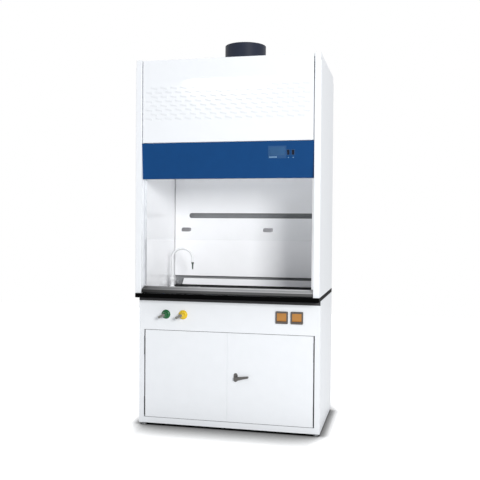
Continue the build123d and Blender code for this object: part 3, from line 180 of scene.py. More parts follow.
def finish(name, colour, roughness, metal=0.0, skin=0.000008, skin_scale=900.0, mottle=0.05, **sockets):
    """A Principled finish. skin is the height in metres of a noise bump with skin_scale waves to the metre. A
    slower noise, slow_waves to the metre, moves the colour and the roughness by the share mottle each way."""
    material = bpy.data.materials.new(name)
    material.use_nodes = True
    links, shader_nodes = material.node_tree.links, material.node_tree.nodes
    shader = shader_nodes["Principled BSDF"]
    shader.inputs["Metallic"].default_value = metal
    for socket, value in sockets.items():
        shader.inputs[socket.replace("_", " ")].default_value = value
    place = shader_nodes.new("ShaderNodeTexCoord")
    fine, slow = (shader_nodes.new("ShaderNodeTexNoise") for _ in range(2))
    for noise, scale in ((fine, skin_scale), (slow, slow_waves)):
        noise.inputs["Scale"].default_value = scale
        noise.inputs["Detail"].default_value = 2.0
        links.new(place.outputs["Object"], noise.inputs["Vector"])
    bump = shader_nodes.new("ShaderNodeBump")
    bump.inputs["Distance"].default_value = skin
    links.new(fine.outputs["Fac"], bump.inputs["Height"])
    links.new(bump.outputs["Normal"], shader.inputs["Normal"])
    share = shader_nodes.new("ShaderNodeMapRange")
    for socket, value in (("From Min", 0.3), ("From Max", 0.7), ("To Min", 1 - mottle), ("To Max", 1 + mottle)):
        share.inputs[socket].default_value = value
    links.new(slow.outputs["Fac"], share.inputs["Value"])
    tone = shader_nodes.new("ShaderNodeVectorMath")
    tone.operation = "SCALE"
    tone.inputs[0].default_value = colour
    links.new(share.outputs["Result"], tone.inputs["Scale"])
    links.new(tone.outputs[0], shader.inputs["Base Color"])
    rough = shader_nodes.new("ShaderNodeMath")
    rough.operation = "MULTIPLY"
    rough.inputs[1].default_value = roughness
    links.new(share.outputs["Result"], rough.inputs[0])
    links.new(rough.outputs[0], shader.inputs["Roughness"])
    return material


# %% Finishes by slot
finishes = {
    "white_enamel": finish("white_enamel", (0.765, 0.78, 0.80), 0.35, skin=0.00002, mottle=0.008,
                           Specular_IOR_Level=0.2),
    "liner_panel": finish("liner_panel", (0.93, 0.935, 0.95), 0.16, skin=0.000004, mottle=0.008),
    # dark_liner is painted shade: the rear liner behind the baffle's slots is darkened so they read as the shadowed
    # space.
    "dark_liner": finish("dark_liner", (0.28, 0.285, 0.295), 0.5, Specular_IOR_Level=0.2),
    "blue_enamel": finish("blue_enamel", (0.006, 0.050, 0.165), 0.40, skin=0.00002, mottle=0.03,
                          Specular_IOR_Level=0.08),
    "black_worktop": finish("black_worktop", (0.0016, 0.0016, 0.0016), 0.5, skin=0.00003, skin_scale=400,
                            Specular_IOR_Level=0.01),
    "sash_metal": finish("sash_metal", (0.72, 0.73, 0.75), 0.32, metal=1.0),
    "pull_plastic": finish("pull_plastic", (0.20, 0.20, 0.21), 0.35),
    "collar_paint": finish("collar_paint", (0.020, 0.025, 0.042), 0.45, skin=0.00002, Specular_IOR_Level=0.15),
    "zinc_steel": finish("zinc_steel", (0.52, 0.53, 0.55), 0.35, metal=1.0),
    "hinge_steel": finish("hinge_steel", (0.03, 0.03, 0.033), 0.4, Specular_IOR_Level=0.2),
    "seal_rubber": finish("seal_rubber", (0.012, 0.012, 0.013), 0.7, Specular_IOR_Level=0.1),
    # The next finish is the dark grey of the strip under the worktop, which is painted shade.
    "strip_rubber": finish("strip_rubber", (0.055, 0.055, 0.057), 0.6, Specular_IOR_Level=0.1),
    "latch_zinc": finish("latch_zinc", (0.10, 0.095, 0.09), 0.35, metal=0.6),
    "cable_steel": finish("cable_steel", (0.45, 0.45, 0.46), 0.35, metal=1.0),
    "pulley_plastic": finish("pulley_plastic", (0.75, 0.75, 0.72), 0.45),
    "weight_steel": finish("weight_steel", (0.10, 0.10, 0.11), 0.55, skin=0.00005, skin_scale=300),
    "faucet_coat": finish("faucet_coat", (0.80, 0.81, 0.82), 0.22),
    "nozzle_plastic": finish("nozzle_plastic", (0.05, 0.075, 0.06), 0.4),
    "cup_plastic": finish("cup_plastic", (0.10, 0.10, 0.11), 0.4),
    "valve_green": finish("valve_green", (0.012, 0.115, 0.035), 0.3, Specular_IOR_Level=0.3),
    "valve_yellow": finish("valve_yellow", (0.72, 0.50, 0.02), 0.3, Specular_IOR_Level=0.3),
    "valve_grey": finish("valve_grey", (0.16, 0.155, 0.14), 0.35),
    "valve_brass": finish("valve_brass", (0.70, 0.48, 0.20), 0.3, metal=1.0),
    "outlet_plastic": finish("outlet_plastic", (0.10, 0.085, 0.075), 0.4, Specular_IOR_Level=0.3),
    "flap_amber": finish("flap_amber", (0.42, 0.19, 0.045), 0.25, Specular_IOR_Level=0.3),
    "module_plastic": finish("module_plastic", (0.022, 0.075, 0.19), 0.35, Specular_IOR_Level=0.15),
    "rocker_plastic": finish("rocker_plastic", (0.008, 0.010, 0.02), 0.3, Specular_IOR_Level=0.1),
    "screen_glass": finish("screen_glass", (0.030, 0.090, 0.20), 0.12, Specular_IOR_Level=0.1),
    "key_plastic": finish("key_plastic", (0.16, 0.30, 0.46), 0.4),
    "lamp_enamel": finish("lamp_enamel", (0.80, 0.80, 0.80), 0.3),
    "tube_phosphor": finish("tube_phosphor", (0.90, 0.90, 0.88), 0.4),
}
print(len(finishes), "opaque finishes")

# %% [markdown]
# The sill is brushed steel, and its colour is a painted reflection. Its sloping top is painted light for the lit
# chamber that it mirrors, and its nose dark for the dark room in front, with painted shade darker still at the left
# end. Painting what it mirrors, by height and by place along it, keeps that look under any light. The streaks are
# a noise that is stretched a hundred times along the grinding direction.


# %% Brushed steel of the sill, with a painted reflection
def height_ramp(links, shader_nodes, height, stops):
    """A colour ramp over a height in metres; stops are (height, grey) from the lowest to the highest."""
    low, high = stops[0][0], stops[-1][0]
    span = shader_nodes.new("ShaderNodeMapRange")
    span.inputs["From Min"].default_value = low
    span.inputs["From Max"].default_value = high
    links.new(height, span.inputs["Value"])
    ramp = shader_nodes.new("ShaderNodeValToRGB")
    while len(ramp.color_ramp.elements) < len(stops):
        ramp.color_ramp.elements.new(0.5)
    for element, (level, grey) in zip(ramp.color_ramp.elements, stops):
        element.position = (level - low) / (high - low)
        element.color = (grey, grey, grey, 1)
    links.new(span.outputs["Result"], ramp.inputs["Fac"])
    return ramp.outputs["Color"]


sill_low, sill_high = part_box("airfoil_sill")
nose_rise, left_end_shade = 0.026, 0.20
nose_top = sill_low.z + nose_rise
sill_steel = finish("sill_enamel", (0.2, 0.2, 0.2), 0.4, Specular_IOR_Level=0.1)
steel_nodes, steel_links = sill_steel.node_tree.nodes, sill_steel.node_tree.links
steel_place = steel_nodes.new("ShaderNodeTexCoord")
steel_axes = steel_nodes.new("ShaderNodeSeparateXYZ")
steel_links.new(steel_place.outputs["Object"], steel_axes.inputs[0])
# The ramp paints the reflection by height: light on the sloping top, dark on the nose.
painted_reflection = height_ramp(steel_links, steel_nodes, steel_axes.outputs["Z"], [
    (sill_low.z, 0.02), (sill_low.z + 0.012, 0.09), (nose_top - 0.004, 0.075), (nose_top, 0.42),
    (nose_top + 0.004, 0.30), (nose_top + 0.010, 0.29), (sill_high.z - 0.004, 0.52), (sill_high.z, 0.45),
])
# Painted shade along the sill: the colour falls to left_end_shade at the left end, where the dark room is mirrored.
along = steel_nodes.new("ShaderNodeMapRange")
for socket, value in (("From Min", sill_low.x), ("From Max", -0.10), ("To Min", left_end_shade), ("To Max", 1.0)):
    along.inputs[socket].default_value = value
steel_links.new(steel_axes.outputs["X"], along.inputs["Value"])
stretch = steel_nodes.new("ShaderNodeMapping")
stretch.inputs["Scale"].default_value = (8, 800, 800)
streaks = steel_nodes.new("ShaderNodeTexNoise")
streaks.inputs["Scale"].default_value = 1.0
steel_links.new(steel_place.outputs["Object"], stretch.inputs["Vector"])
steel_links.new(stretch.outputs[0], streaks.inputs["Vector"])
grain = steel_nodes.new("ShaderNodeMapRange")
grain.inputs["To Min"].default_value = 0.8
grain.inputs["To Max"].default_value = 1.2
steel_links.new(streaks.outputs["Fac"], grain.inputs["Value"])
shade = steel_nodes.new("ShaderNodeMath")
shade.operation = "MULTIPLY"
steel_links.new(along.outputs["Result"], shade.inputs[0])
steel_links.new(grain.outputs["Result"], shade.inputs[1])
shaded = steel_nodes.new("ShaderNodeVectorMath")
shaded.operation = "SCALE"
steel_links.new(painted_reflection, shaded.inputs[0])
steel_links.new(shade.outputs[0], shaded.inputs["Scale"])
steel_links.new(shaded.outputs[0], steel_nodes["Principled BSDF"].inputs["Base Color"])
finishes["sill_enamel"] = sill_steel
print("sill steel from", round(sill_low.z, 4), "to", round(sill_high.z, 4), "m")

# %% [markdown]
# Glass needs light to pass. In a thin flat pane the light leaves as it came, so the pane is a faint gloss that the
# shader's Alpha lets the view through, which looks right and lets the lamps light what is behind.


# %% Clear panes
def pane(name, tint, gloss):
    """A flat pane: gloss is the share of it that shows its own tint and mirror, and the rest is see-through."""
    material = bpy.data.materials.new(name)
    material.use_nodes = True
    shader = material.node_tree.nodes["Principled BSDF"]
    shader.inputs["Base Color"].default_value = (*tint, 1)
    shader.inputs["Roughness"].default_value = 0.03
    shader.inputs["IOR"].default_value = 1.45
    shader.inputs["Alpha"].default_value = gloss
    return material


finishes["sash_glass"] = pane("sash_glass", (0.20, 0.24, 0.24), 0.04)
finishes["lens_glass"] = pane("lens_glass", (0.92, 0.94, 0.94), 0.35)

for entry in frame["record"]["subparts"]:
    node = nodes[entry["node"]]
    node.data.materials.clear()
    node.data.materials.append(finishes[entry["material_slot"]])

# %% [markdown]
# ## Background
# The photograph has a white background. The world is white where the camera, a reflection or a pane looks at it,
# and plain grey light everywhere else, so the white adds no light to the object.


# %% World
def looking_rays(shader_nodes, links):
    """1 for a ray from the camera, a reflection or a pane, and 0 for a ray that only lights a surface."""
    path = shader_nodes.new("ShaderNodeLightPath")
    total = path.outputs["Is Camera Ray"]
    for kind in ("Is Glossy Ray", "Is Transmission Ray"):
        add = shader_nodes.new("ShaderNodeMath")
        add.operation = "ADD"
        add.use_clamp = True
        links.new(total, add.inputs[0])
        links.new(path.outputs[kind], add.inputs[1])
        total = add.outputs[0]
    return total


world = bpy.data.worlds.new("studio")
bpy.context.scene.world = world
world.use_nodes = True
world_nodes, world_links = world.node_tree.nodes, world.node_tree.links
ambient = world_nodes["Background"]
ambient.inputs["Color"].default_value = (0.93, 0.96, 1.0, 1)
ambient.inputs["Strength"].default_value = 0.54
seen = world_nodes.new("ShaderNodeBackground")
seen.inputs["Color"].default_value = (1, 1, 1, 1)
seen.inputs["Strength"].default_value = 1.0
either = world_nodes.new("ShaderNodeMixShader")
world_links.new(looking_rays(world_nodes, world_links), either.inputs["Fac"])
world_links.new(ambient.outputs[0], either.inputs[1])
world_links.new(seen.outputs[0], either.inputs[2])
world_links.new(either.outputs[0], world_nodes["World Output"].inputs["Surface"])
bpy.context.scene.view_settings.view_transform = "Standard"
print("world ready")

# %% [markdown]
# ## Floor
# The floor glows white to the rays that look at the background. A soft dark shadow in front of the feet is painted
# into the floor: an ambient occlusion node tells how much of the room the cabinet hides from a point of the floor, and
# takes the glow and the colour down there. Its reach shrinks past the cabinet's sides, where the painted shadow is
# narrow.

# %% Floor
floor_half = 6.0
floor_glow, floor_grey, shadow_depth = 0.80, 0.72, 3.0
shadow_tilt = (0, 0.7, 0.7)
side_start, side_end = 0.55, 0.64
front_reach, side_reach = 0.36, 0.09
floor_mesh = bpy.data.meshes.new("floor")
corner = np.array([(-1, -1, 0), (1, -1, 0), (1, 1, 0), (-1, 1, 0)]) * floor_half
floor_mesh.from_pydata(corner.tolist(), [], [(0, 1, 2, 3)])
floor = bpy.data.objects.new("floor", floor_mesh)
bpy.context.scene.collection.objects.link(floor)
floor_paint = bpy.data.materials.new("floor")
floor_paint.use_nodes = True
floor_nodes, floor_links = floor_paint.node_tree.nodes, floor_paint.node_tree.links
floor_shader = floor_nodes["Principled BSDF"]
floor_shader.inputs["Roughness"].default_value = 0.9
floor_shader.inputs["Specular IOR Level"].default_value = 0.0
floor_seen = floor_nodes.new("ShaderNodeMath")
floor_seen.operation = "MULTIPLY"
floor_seen.inputs[1].default_value = floor_glow
floor_links.new(looking_rays(floor_nodes, floor_links), floor_seen.inputs[0])
floor_links.new(floor_seen.outputs[0], floor_shader.inputs["Emission Strength"])
shadow_occlusion = floor_nodes.new("ShaderNodeAmbientOcclusion")
shadow_occlusion.inputs["Normal"].default_value = shadow_tilt
shadow_occlusion.samples = 16
floor_place = floor_nodes.new("ShaderNodeTexCoord")
floor_axes = floor_nodes.new("ShaderNodeSeparateXYZ")
floor_links.new(floor_place.outputs["Object"], floor_axes.inputs[0])
aside = floor_nodes.new("ShaderNodeMath")
aside.operation = "ABSOLUTE"
floor_links.new(floor_axes.outputs["X"], aside.inputs[0])
shadow_reach = floor_nodes.new("ShaderNodeMapRange")
for socket, value in (("From Min", side_start), ("From Max", side_end), ("To Min", front_reach),
                      ("To Max", side_reach)):
    shadow_reach.inputs[socket].default_value = value
floor_links.new(aside.outputs[0], shadow_reach.inputs["Value"])
floor_links.new(shadow_reach.outputs["Result"], shadow_occlusion.inputs["Distance"])
# The painted shadow: occlusion, made deeper, darkens both the floor's colour and its glow.
painted_shadow = floor_nodes.new("ShaderNodeGamma")
painted_shadow.inputs["Gamma"].default_value = shadow_depth
floor_links.new(shadow_occlusion.outputs["Color"], painted_shadow.inputs["Color"])
painted_shadow_grey = floor_nodes.new("ShaderNodeVectorMath")
painted_shadow_grey.operation = "SCALE"
painted_shadow_grey.inputs["Scale"].default_value = floor_grey
floor_links.new(painted_shadow.outputs[0], painted_shadow_grey.inputs[0])
floor_links.new(painted_shadow_grey.outputs[0], floor_shader.inputs["Base Color"])
floor_links.new(painted_shadow.outputs[0], floor_shader.inputs["Emission Color"])
floor_mesh.materials.append(floor_paint)
print("floor", 2 * floor_half, "m square")

# %% [markdown]
# ## Lamps
# A large soft box stands in front and to the right, so that the front is lit fully and the right side less. A weak
# lamp under the chamber's ceiling does what the hood's own tube does.


# %% Lamps
def area_lamp(name, place, target, size, watts):
    """A square soft box that stands at place and looks at target."""
    data = bpy.data.lights.new(name, "AREA")
    data.size = size
    data.energy = watts
    lamp = bpy.data.objects.new(name, data)
    lamp.location = place
    lamp.rotation_euler = (Vector(target) - Vector(place)).to_track_quat("-Z", "Y").to_euler()
    bpy.context.scene.collection.objects.link(lamp)
    return lamp


area_lamp("key", place=(4.64, -7.6, 3.1), target=(0, 0, 0.6), size=2.4, watts=625)
chamber_top, chamber_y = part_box("ceiling_liner")[0].z, -0.17
chamber_lamp = area_lamp("chamber", place=(0, chamber_y, chamber_top - 0.01), target=(0, chamber_y, 0),
                         size=0.5, watts=3.6)
chamber_lamp.visible_camera = False
print("two lamps")

# %% [markdown]
# ## Curves that carry a profile
# A tube is a circle carried along a path. At each point of the path the circle lies in the plane across it.
# All the paths here stay in one upright plane, so the plane's normal and the path's own direction give the
# circle's two axes with no twist.


# %% Tubes
def circle_angles(count):
    """Angles once round a circle, the last one a step short of the first."""
    return np.linspace(0, 2 * np.pi, count, endpoint=False)


def tube(path, plane_normal, radius, sides=24, relief=None):
    """Ring k is path[k] + r (cos a * normal + sin a * across), with across = direction x normal.
    radius is a number or one per ring. relief(angle, length) scales the radius. Two flat fans close the ends."""
    path = np.asarray(path, float)
    steps = np.gradient(path, axis=0)
    direction = steps / np.linalg.norm(steps, axis=1, keepdims=True)
    normal = np.asarray(plane_normal, float)
    across = np.cross(direction, normal)
    angle = circle_angles(sides)
    length = np.concatenate([[0], np.cumsum(np.linalg.norm(np.diff(path, axis=0), axis=1))])
    reach = np.broadcast_to(np.asarray(radius, float).reshape(-1, 1), (len(path), sides)).copy()
    if relief:
        reach *= relief(angle[None, :], length[:, None])
    round_about = np.cos(angle)[None, :, None] * normal + np.sin(angle)[None, :, None] * across[:, None]
    points = path[:, None] + reach[..., None] * round_about
    ends = np.stack([np.repeat(path[:1], sides, 0), np.repeat(path[-1:], sides, 0)])
    points = np.concatenate([ends[:1], points, ends[1:]])
    return points.reshape(-1, 3), grid_faces(len(path) + 2, sides, close_columns=True)


# %% [markdown]
# ## Turned pieces
# The spout's column, the tap knobs, the pulleys and the collar are all turned: a profile of (radius, height)
# spun about an axis. Sharp corners catch no light, so the profile's corners are rounded first.


# %% Rounded profiles
def rounded(corners, radius, steps=4, closed=False):
    """Each corner becomes a curve that leaves its two sides at equal distances, drawn as a quadratic blend of
    start, corner and end. The distance is radius, or just under half the shorter side."""
    corners = np.asarray(corners, float)
    before, after = np.roll(corners, 1, axis=0), np.roll(corners, -1, axis=0)
    to_before, to_after = before - corners, after - corners
    length_before = np.linalg.norm(to_before, axis=1, keepdims=True)
    length_after = np.linalg.norm(to_after, axis=1, keepdims=True)
    cut = np.minimum(radius, 0.49 * np.minimum(length_before, length_after))
    start = corners + to_before / np.maximum(length_before, 1e-12) * cut
    end = corners + to_after / np.maximum(length_after, 1e-12) * cut
    t = np.linspace(0, 1, steps + 1)[None, :, None]
    bend = (1 - t) ** 2 * start[:, None] + 2 * t * (1 - t) * corners[:, None] + t**2 * end[:, None]
    if closed:
        return bend.reshape(-1, 2)
    return np.concatenate([corners[:1], bend[1:-1].reshape(-1, 2), corners[-1:]])


def turned(profile, centre, axis, sides=64, flutes=None):
    """Point (k, a) is centre + height_k * axis + radius_k * (cos a * side + sin a * other). flutes(angle, height)
    scales the radius, for gripping ribs."""
    profile = np.asarray(profile, float)
    axis = np.asarray(axis, float)
    side = np.roll(np.abs(axis), 1)
    other = np.cross(axis, side)
    angle = circle_angles(sides)
    radius = np.repeat(profile[:, :1], sides, 1)
    if flutes:
        radius = radius * flutes(angle[None, :], profile[:, 1:])
    round_about = np.cos(angle)[None, :, None] * side + np.sin(angle)[None, :, None] * other
    points = np.asarray(centre, float) + profile[:, 1, None, None] * axis + radius[..., None] * round_about
    return points.reshape(-1, 3), grid_faces(len(profile), sides, close_columns=True)


# %% [markdown]
# ## Exhaust collar
# A rolled sheet tube with a flange on the roof. Its profile is one closed loop, up the outside and down the
# inside, so the tube has a real wall and an open top for the duct.

# %% Collar
low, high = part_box("exhaust_collar")
collar_centre = ((low.x + high.x) / 2, (low.y + high.y) / 2, 0)
collar_radius, collar_wall, flange_width = 0.143, 0.002, 0.024
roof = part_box("roof_panel")[0].z + 0.0015
collar_profile = rounded(
    [
        (collar_radius, low.z),
        (collar_radius, roof),
        (collar_radius + flange_width, roof),
        (collar_radius + flange_width, roof + 0.003),
        (collar_radius, roof + 0.003),
        (collar_radius, high.z),
        (collar_radius - collar_wall, high.z),
        (collar_radius - collar_wall, low.z),
    ],
    0.0012, closed=True,
)
collar_profile = np.concatenate([collar_profile, collar_profile[:1]])
make_piece("collar", *turned(collar_profile, collar_centre, (0, 0, 1), 128), "cabinet", "collar_paint",
           ["exhaust_collar"])

# %% [markdown]
# ## Swan-neck tap
# The spout is a bent tube: straight up, over in a half circle, and down to a dark nozzle. The path is worked out
# from the frame: it starts at the column and ends over the cup sink.

# %% Spout
low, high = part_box("faucet_spout")
spout_radius = 0.008
spout_foot = Vector((low.x + spout_radius, (low.y + high.y) / 2, low.z))
arch_radius = (high.x - low.x) / 2 - spout_radius
arch_height = high.z - spout_radius - arch_radius
nozzle_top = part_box("faucet_nozzle")[1].z
swing = np.linspace(np.pi, 0, 49)
rise = np.linspace(spout_foot.z, arch_height, 20, endpoint=False)
drop = np.linspace(arch_height, nozzle_top, 6)[1:]
spout_path = np.concatenate([
    np.stack([np.full_like(rise, spout_foot.x), rise], 1),
    np.stack([spout_foot.x + arch_radius * (1 + np.cos(swing)), arch_height + arch_radius * np.sin(swing)], 1),
    np.stack([np.full_like(drop, spout_foot.x + 2 * arch_radius), drop], 1),
])
spout_path = np.insert(spout_path, 1, spout_foot.y, axis=1)
make_piece("spout", *tube(spout_path, (0, 1, 0), spout_radius, 32), "spout", "faucet_coat", ["faucet_spout"])

# %% Tap column
low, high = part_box("faucet_column")
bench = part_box("worktop")[1].z
column_height = high.z - bench
column_profile = rounded(
    [
        (0, low.z - bench),
        (0.0097, low.z - bench),
        (0.0097, 0),
        (0.025, 0),
        (0.025, 0.004),
        (0.019, 0.008),
        (0.013, 0.012),
        (0.013, column_height - 0.022),
        (0.016, column_height - 0.018),
        (0.016, column_height - 0.004),
        (0.013, column_height),
        (spout_radius + 0.0001, column_height),
        (spout_radius + 0.0001, column_height - 0.016),
        (0, column_height - 0.016),
    ],
    0.002,
)
make_piece("tap_column", *turned(column_profile, (spout_foot.x, spout_foot.y, bench), (0, 0, 1)), "cabinet",
           "faucet_coat", ["faucet_column"])

# %% [markdown]
# ## Suspension cables
# A wire rope is a bundle of strands laid in a slow helix. A small relief on the radius, whose crests turn with
# the length along the rope, shows the lay without modelling each wire. The legs between a wheel and the sash
# change length as it slides; here they are drawn straight, at rest, and ride on no body.


# %% Cables
def strands(angle, length, count=6, pitch=0.016):
    """Radius factor with one crest per strand, turned by the length along the rope."""
    return 1 - 0.12 * (0.5 - 0.5 * np.cos(count * (angle - 2 * np.pi * length / pitch / count * 2)))


cable_radius = 0.0015
low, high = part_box("sash_cables")
cable_x = high.x - cable_radius
sash_y, weight_y = low.y + cable_radius, high.y - cable_radius
wheel_height, run_height = low.z, high.z - cable_radius
wheel_radius = run_height - wheel_height
quarter = np.linspace(0, np.pi / 2, 17)
front_arc = np.stack([sash_y + wheel_radius * (1 - np.cos(quarter)),
                      wheel_height + wheel_radius * np.sin(quarter)], 1)
back_arc = np.stack([weight_y - wheel_radius * (1 - np.cos(quarter)), front_arc[:, 1]], 1)[::-1]
level = np.linspace(front_arc[-1], back_arc[0], 120)[1:-1]
run = np.concatenate([front_arc, level, back_arc])
runs = []
for x in (-cable_x, cable_x):
    runs.append(tube(np.insert(run, 0, x, axis=1), (1, 0, 0), cable_radius, 12, strands))
make_piece("cable_runs", *joined(runs), "cabinet", "cable_steel", ["sash_cables"])
print("cables at", round(cable_x, 4), "m each side")

# %% Legs of the cables
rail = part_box("sash_rails")[1].z
weight_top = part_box("counterweight")[1].z
for name, node, y, foot, body in (
    ("sash_legs", "sash_cable_legs", sash_y, rail, "sash"),
    ("weight_legs", "weight_cable_legs", weight_y, weight_top, "weight"),
):
    heights = np.linspace(wheel_height, foot, 60)
    legs = []
    for x in (-cable_x, cable_x):
        path = np.stack([np.full_like(heights, x), np.full_like(heights, y), heights], 1)
        legs.append(tube(path, (1, 0, 0), cable_radius, 12, strands))
    leg_piece = make_piece(name, *joined(legs), None, "cable_steel", [node])
    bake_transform(leg_piece)

# %% [markdown]
# ## Cable wheels
# A wheel is turned about the sideways axis. The groove that holds the rope is a half circle in the rim.

# %% Wheels
groove = np.linspace(-np.pi / 2, np.pi / 2, 13)
wheel_width = 0.012
for name, node, body in (("front_cable_wheels", "front_pulleys", "front_wheels"),
                         ("rear_cable_wheels", "rear_pulleys", "rear_wheels")):
    low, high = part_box(node)
    wheel_rim = (high.z - low.z) / 2
    groove_points = np.stack([wheel_rim - 0.0055 * np.cos(groove), 0.0022 * np.sin(groove)], 1)
    wheel_profile = np.concatenate([
        [(0.0041, -wheel_width / 2), (0.0095, -wheel_width / 2), (0.0105, -wheel_width / 2 + 0.0025)],
        [(0.0225, -wheel_width / 2 + 0.0025), (0.0235, -wheel_width / 2), (wheel_rim - 0.001, -wheel_width / 2)],
        [(wheel_rim, -wheel_width / 2 + 0.001)],
        groove_points,
        [(wheel_rim, wheel_width / 2 - 0.001), (wheel_rim - 0.001, wheel_width / 2)],
        [(0.0235, wheel_width / 2), (0.0225, wheel_width / 2 - 0.0025)],
        [(0.0105, wheel_width / 2 - 0.0025), (0.0095, wheel_width / 2), (0.0041, wheel_width / 2)],
        [(0.0041, -wheel_width / 2)],
    ])
    centre_y = (low.y + high.y) / 2
    wheels = [turned(wheel_profile, (x, centre_y, wheel_height), (1, 0, 0), 72) for x in (-cable_x, cable_x)]
    make_piece(name, *joined(wheels), body, "pulley_plastic", [node])

# %% [markdown]
# ## Service taps
# Each tap has a domed rosette on the panel, a knob with eight soft flutes, and a short flat lever that points down
# to the left. The flutes are a cosine on the radius that fades towards the knob's rounded tip.

# %% Taps
tap_slots = {"green": "valve_green", "yellow": "valve_yellow"}
panel_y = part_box("base_front")[0].y
tap_shoulder, knob_radius, knob_skirt = 0.030, 0.0168, 0.020
stem_hole, rosette_edge = 0.0042, 0.0015


def flutes(angle, height):
    """Radius factor of eight hollows, full on the skirt and fading out over the shoulder."""
    depth = 0.13 * np.clip((tap_shoulder - height) / 0.012, 0, 1)
    return 1 - depth * (0.5 + 0.5 * np.cos(8 * angle)) ** 1.5


for colour, slot in tap_slots.items():
    low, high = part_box(f"{colour}_valve_rosette")
    tap_centre = np.array([(low.x + high.x) / 2, 0, (low.z + high.z) / 2])
    rosette_radius, rosette_depth = (high.x - low.x) / 2, high.y - low.y
    dome = np.linspace(0, np.pi / 2, 11)
    dome_radius = rosette_radius * (0.5 + 0.48 * np.cos(dome))
    rosette_profile = np.concatenate([
        [(stem_hole, 0), (rosette_radius, 0), (rosette_radius, rosette_edge)],
        np.stack([dome_radius, rosette_edge + (rosette_depth - rosette_edge) * np.sin(dome)], 1),
        [(stem_hole, rosette_depth), (stem_hole, 0)],
    ])
    make_piece(f"{colour}_rosette", *turned(rosette_profile, tap_centre + (0, high.y, 0), (0, -1, 0), 96),
               "cabinet", slot, [f"{colour}_valve_rosette"])
    knob_foot = low.y - 0.0003
    knob_length = knob_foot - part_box(f"{colour}_valve_knob")[0].y
    bend = np.linspace(0, np.pi / 2, 9)
    knob_profile = np.concatenate([
        [(0, 0), (knob_radius - 0.001, 0), (knob_radius, 0.001)],
        np.stack([np.full(8, knob_radius), np.linspace(0.003, knob_skirt, 8)], 1),
        np.stack([knob_radius - 0.006 * (1 - np.cos(bend)), knob_skirt + (knob_length - knob_skirt) * np.sin(bend)], 1),
        [(0, knob_length)],
    ])
    stem_profile = [(0, -0.024), (0.004, -0.024), (0.004, 0), (0, 0)]
    knob_place = tap_centre + (0, knob_foot, 0)
    knob_shape = turned(knob_profile, knob_place, (0, -1, 0), 96, flutes)
    stem_shape = turned(stem_profile, knob_place, (0, -1, 0), 32)
    make_piece(f"{colour}_knob", *joined([knob_shape, stem_shape]), f"{colour}_valve", slot,
               [f"{colour}_valve_knob"])

# %% [markdown]
# ## Door seals
# A black rubber strip fills the joint round the doors, set back behind the knuckles of the hinges. It stops short
# of the doors on every side, so that they swing free.

# %% Seals
door_low, door_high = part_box("left_door")[0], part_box("right_door")[1]
opening_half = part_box("frame_hinge_leaves")[1].x
seal_front, seal_back = panel_y + 0.005, panel_y + 0.016
side_inner, side_outer = opening_half - 0.0062, opening_half - 0.0016
past_door, strip_height, strip_corner = 0.0028, 0.0024, 0.0005
strips = []
for side in (-1, 1):
    x0, x1 = sorted((side * side_inner, side * side_outer))
    strips.append(rounded_box((x0, seal_front, door_low.z - past_door), (x1, seal_back, door_high.z + past_door),
                              strip_corner, 1))
for z0 in (door_low.z - past_door, door_high.z + past_door - strip_height):
    strips.append(rounded_box((-side_inner, panel_y + 0.0035, z0), (side_inner, seal_back, z0 + strip_height),
                              strip_corner, 1))
make_piece("door_seals", *joined(strips), "cabinet", "seal_rubber")

# %% [markdown]
# A white strip on the left door's edge closes the joint between the doors, so that the dark cupboard doesn't show.

# %% Meeting strip
strip_left, strip_right = -0.0011, 0.0005
make_piece("meeting_strip", *rounded_box((strip_left, panel_y + 0.0005, door_low.z + 0.001),
                                         (strip_right, panel_y + 0.014, door_high.z - 0.001), 0.0003, 1),
           "left_door_body", "white_enamel")

# %% [markdown]
# ## Painted shade under the worktop
# A dark grey strip, set back under the worktop's nose at the joint with the cabinet, is painted shade:
# it stands in for the shadow that the nose casts there.

# %% Dark strip of painted shade under the worktop
slab_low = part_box("worktop")[0]
strip_end, strip_fall = slab_low.x + 0.001, 0.027
make_piece("worktop_shade_strip", *rounded_box((strip_end, panel_y - 0.0025, slab_low.z - strip_fall),
                                         (-strip_end, panel_y + 0.001, slab_low.z), 0.0008, 2),
           "cabinet", "strip_rubber")

# %% [markdown]
# ## Sash pulls
# A pull is a moulded cup that is open below for the fingertips. Its outline across the pane is a flattened
# oval: at the place u from -1 to 1 along its width, depth and height shrink by (1 - |u|^n)^(1/n).

# %% Pulls
def cup_pull(low, high, wall, count=41):
    """A cup between two corners: a closed loop of profile points, scaled at each place along the width."""
    low, high = np.asarray(low, float), np.asarray(high, float)
    width, depth, tall = high - low
    swing = np.linspace(0, np.pi / 2, 9)
    outer = np.stack([-depth * np.sin(swing) ** 0.7, tall * np.cos(swing) ** 0.7], 1)
    lip = np.array([(-depth, 0.0), (-depth + wall, 0.0)])
    inner = np.stack([-(depth - wall) * np.sin(swing[::-1]) ** 0.7, (tall - wall) * np.cos(swing[::-1]) ** 0.7], 1)
    loop = np.concatenate([outer, lip, inner])
    place = np.sin(np.linspace(-np.pi / 2, np.pi / 2, count))
    shrink = (1 - np.abs(place) ** 5) ** (1 / 5)
    x = np.repeat((low[0] + high[0]) / 2 + place[:, None] * width / 2, len(loop), 1)
    y = high[1] + shrink[:, None] * loop[None, :, 0]
    z = low[2] + (tall * (1 - shrink[:, None]) * 0.5) + shrink[:, None] * loop[None, :, 1]
    return np.stack([x, y, z], -1).reshape(-1, 3), grid_faces(count, len(loop), close_columns=True)


low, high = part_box("sash_pulls")
pull_width = 0.062
pulls = [cup_pull((x0, low.y, low.z), (x0 + pull_width, high.y, high.z), 0.003)
         for x0 in (low.x, high.x - pull_width)]
make_piece("cup_pulls", *joined(pulls), "sash", "pull_plastic", ["sash_pulls"])

# %% [markdown]
# ## Nozzle
# The hose nozzle on the spout is turned: a collar, then four barbs that each widen upwards from the tip.

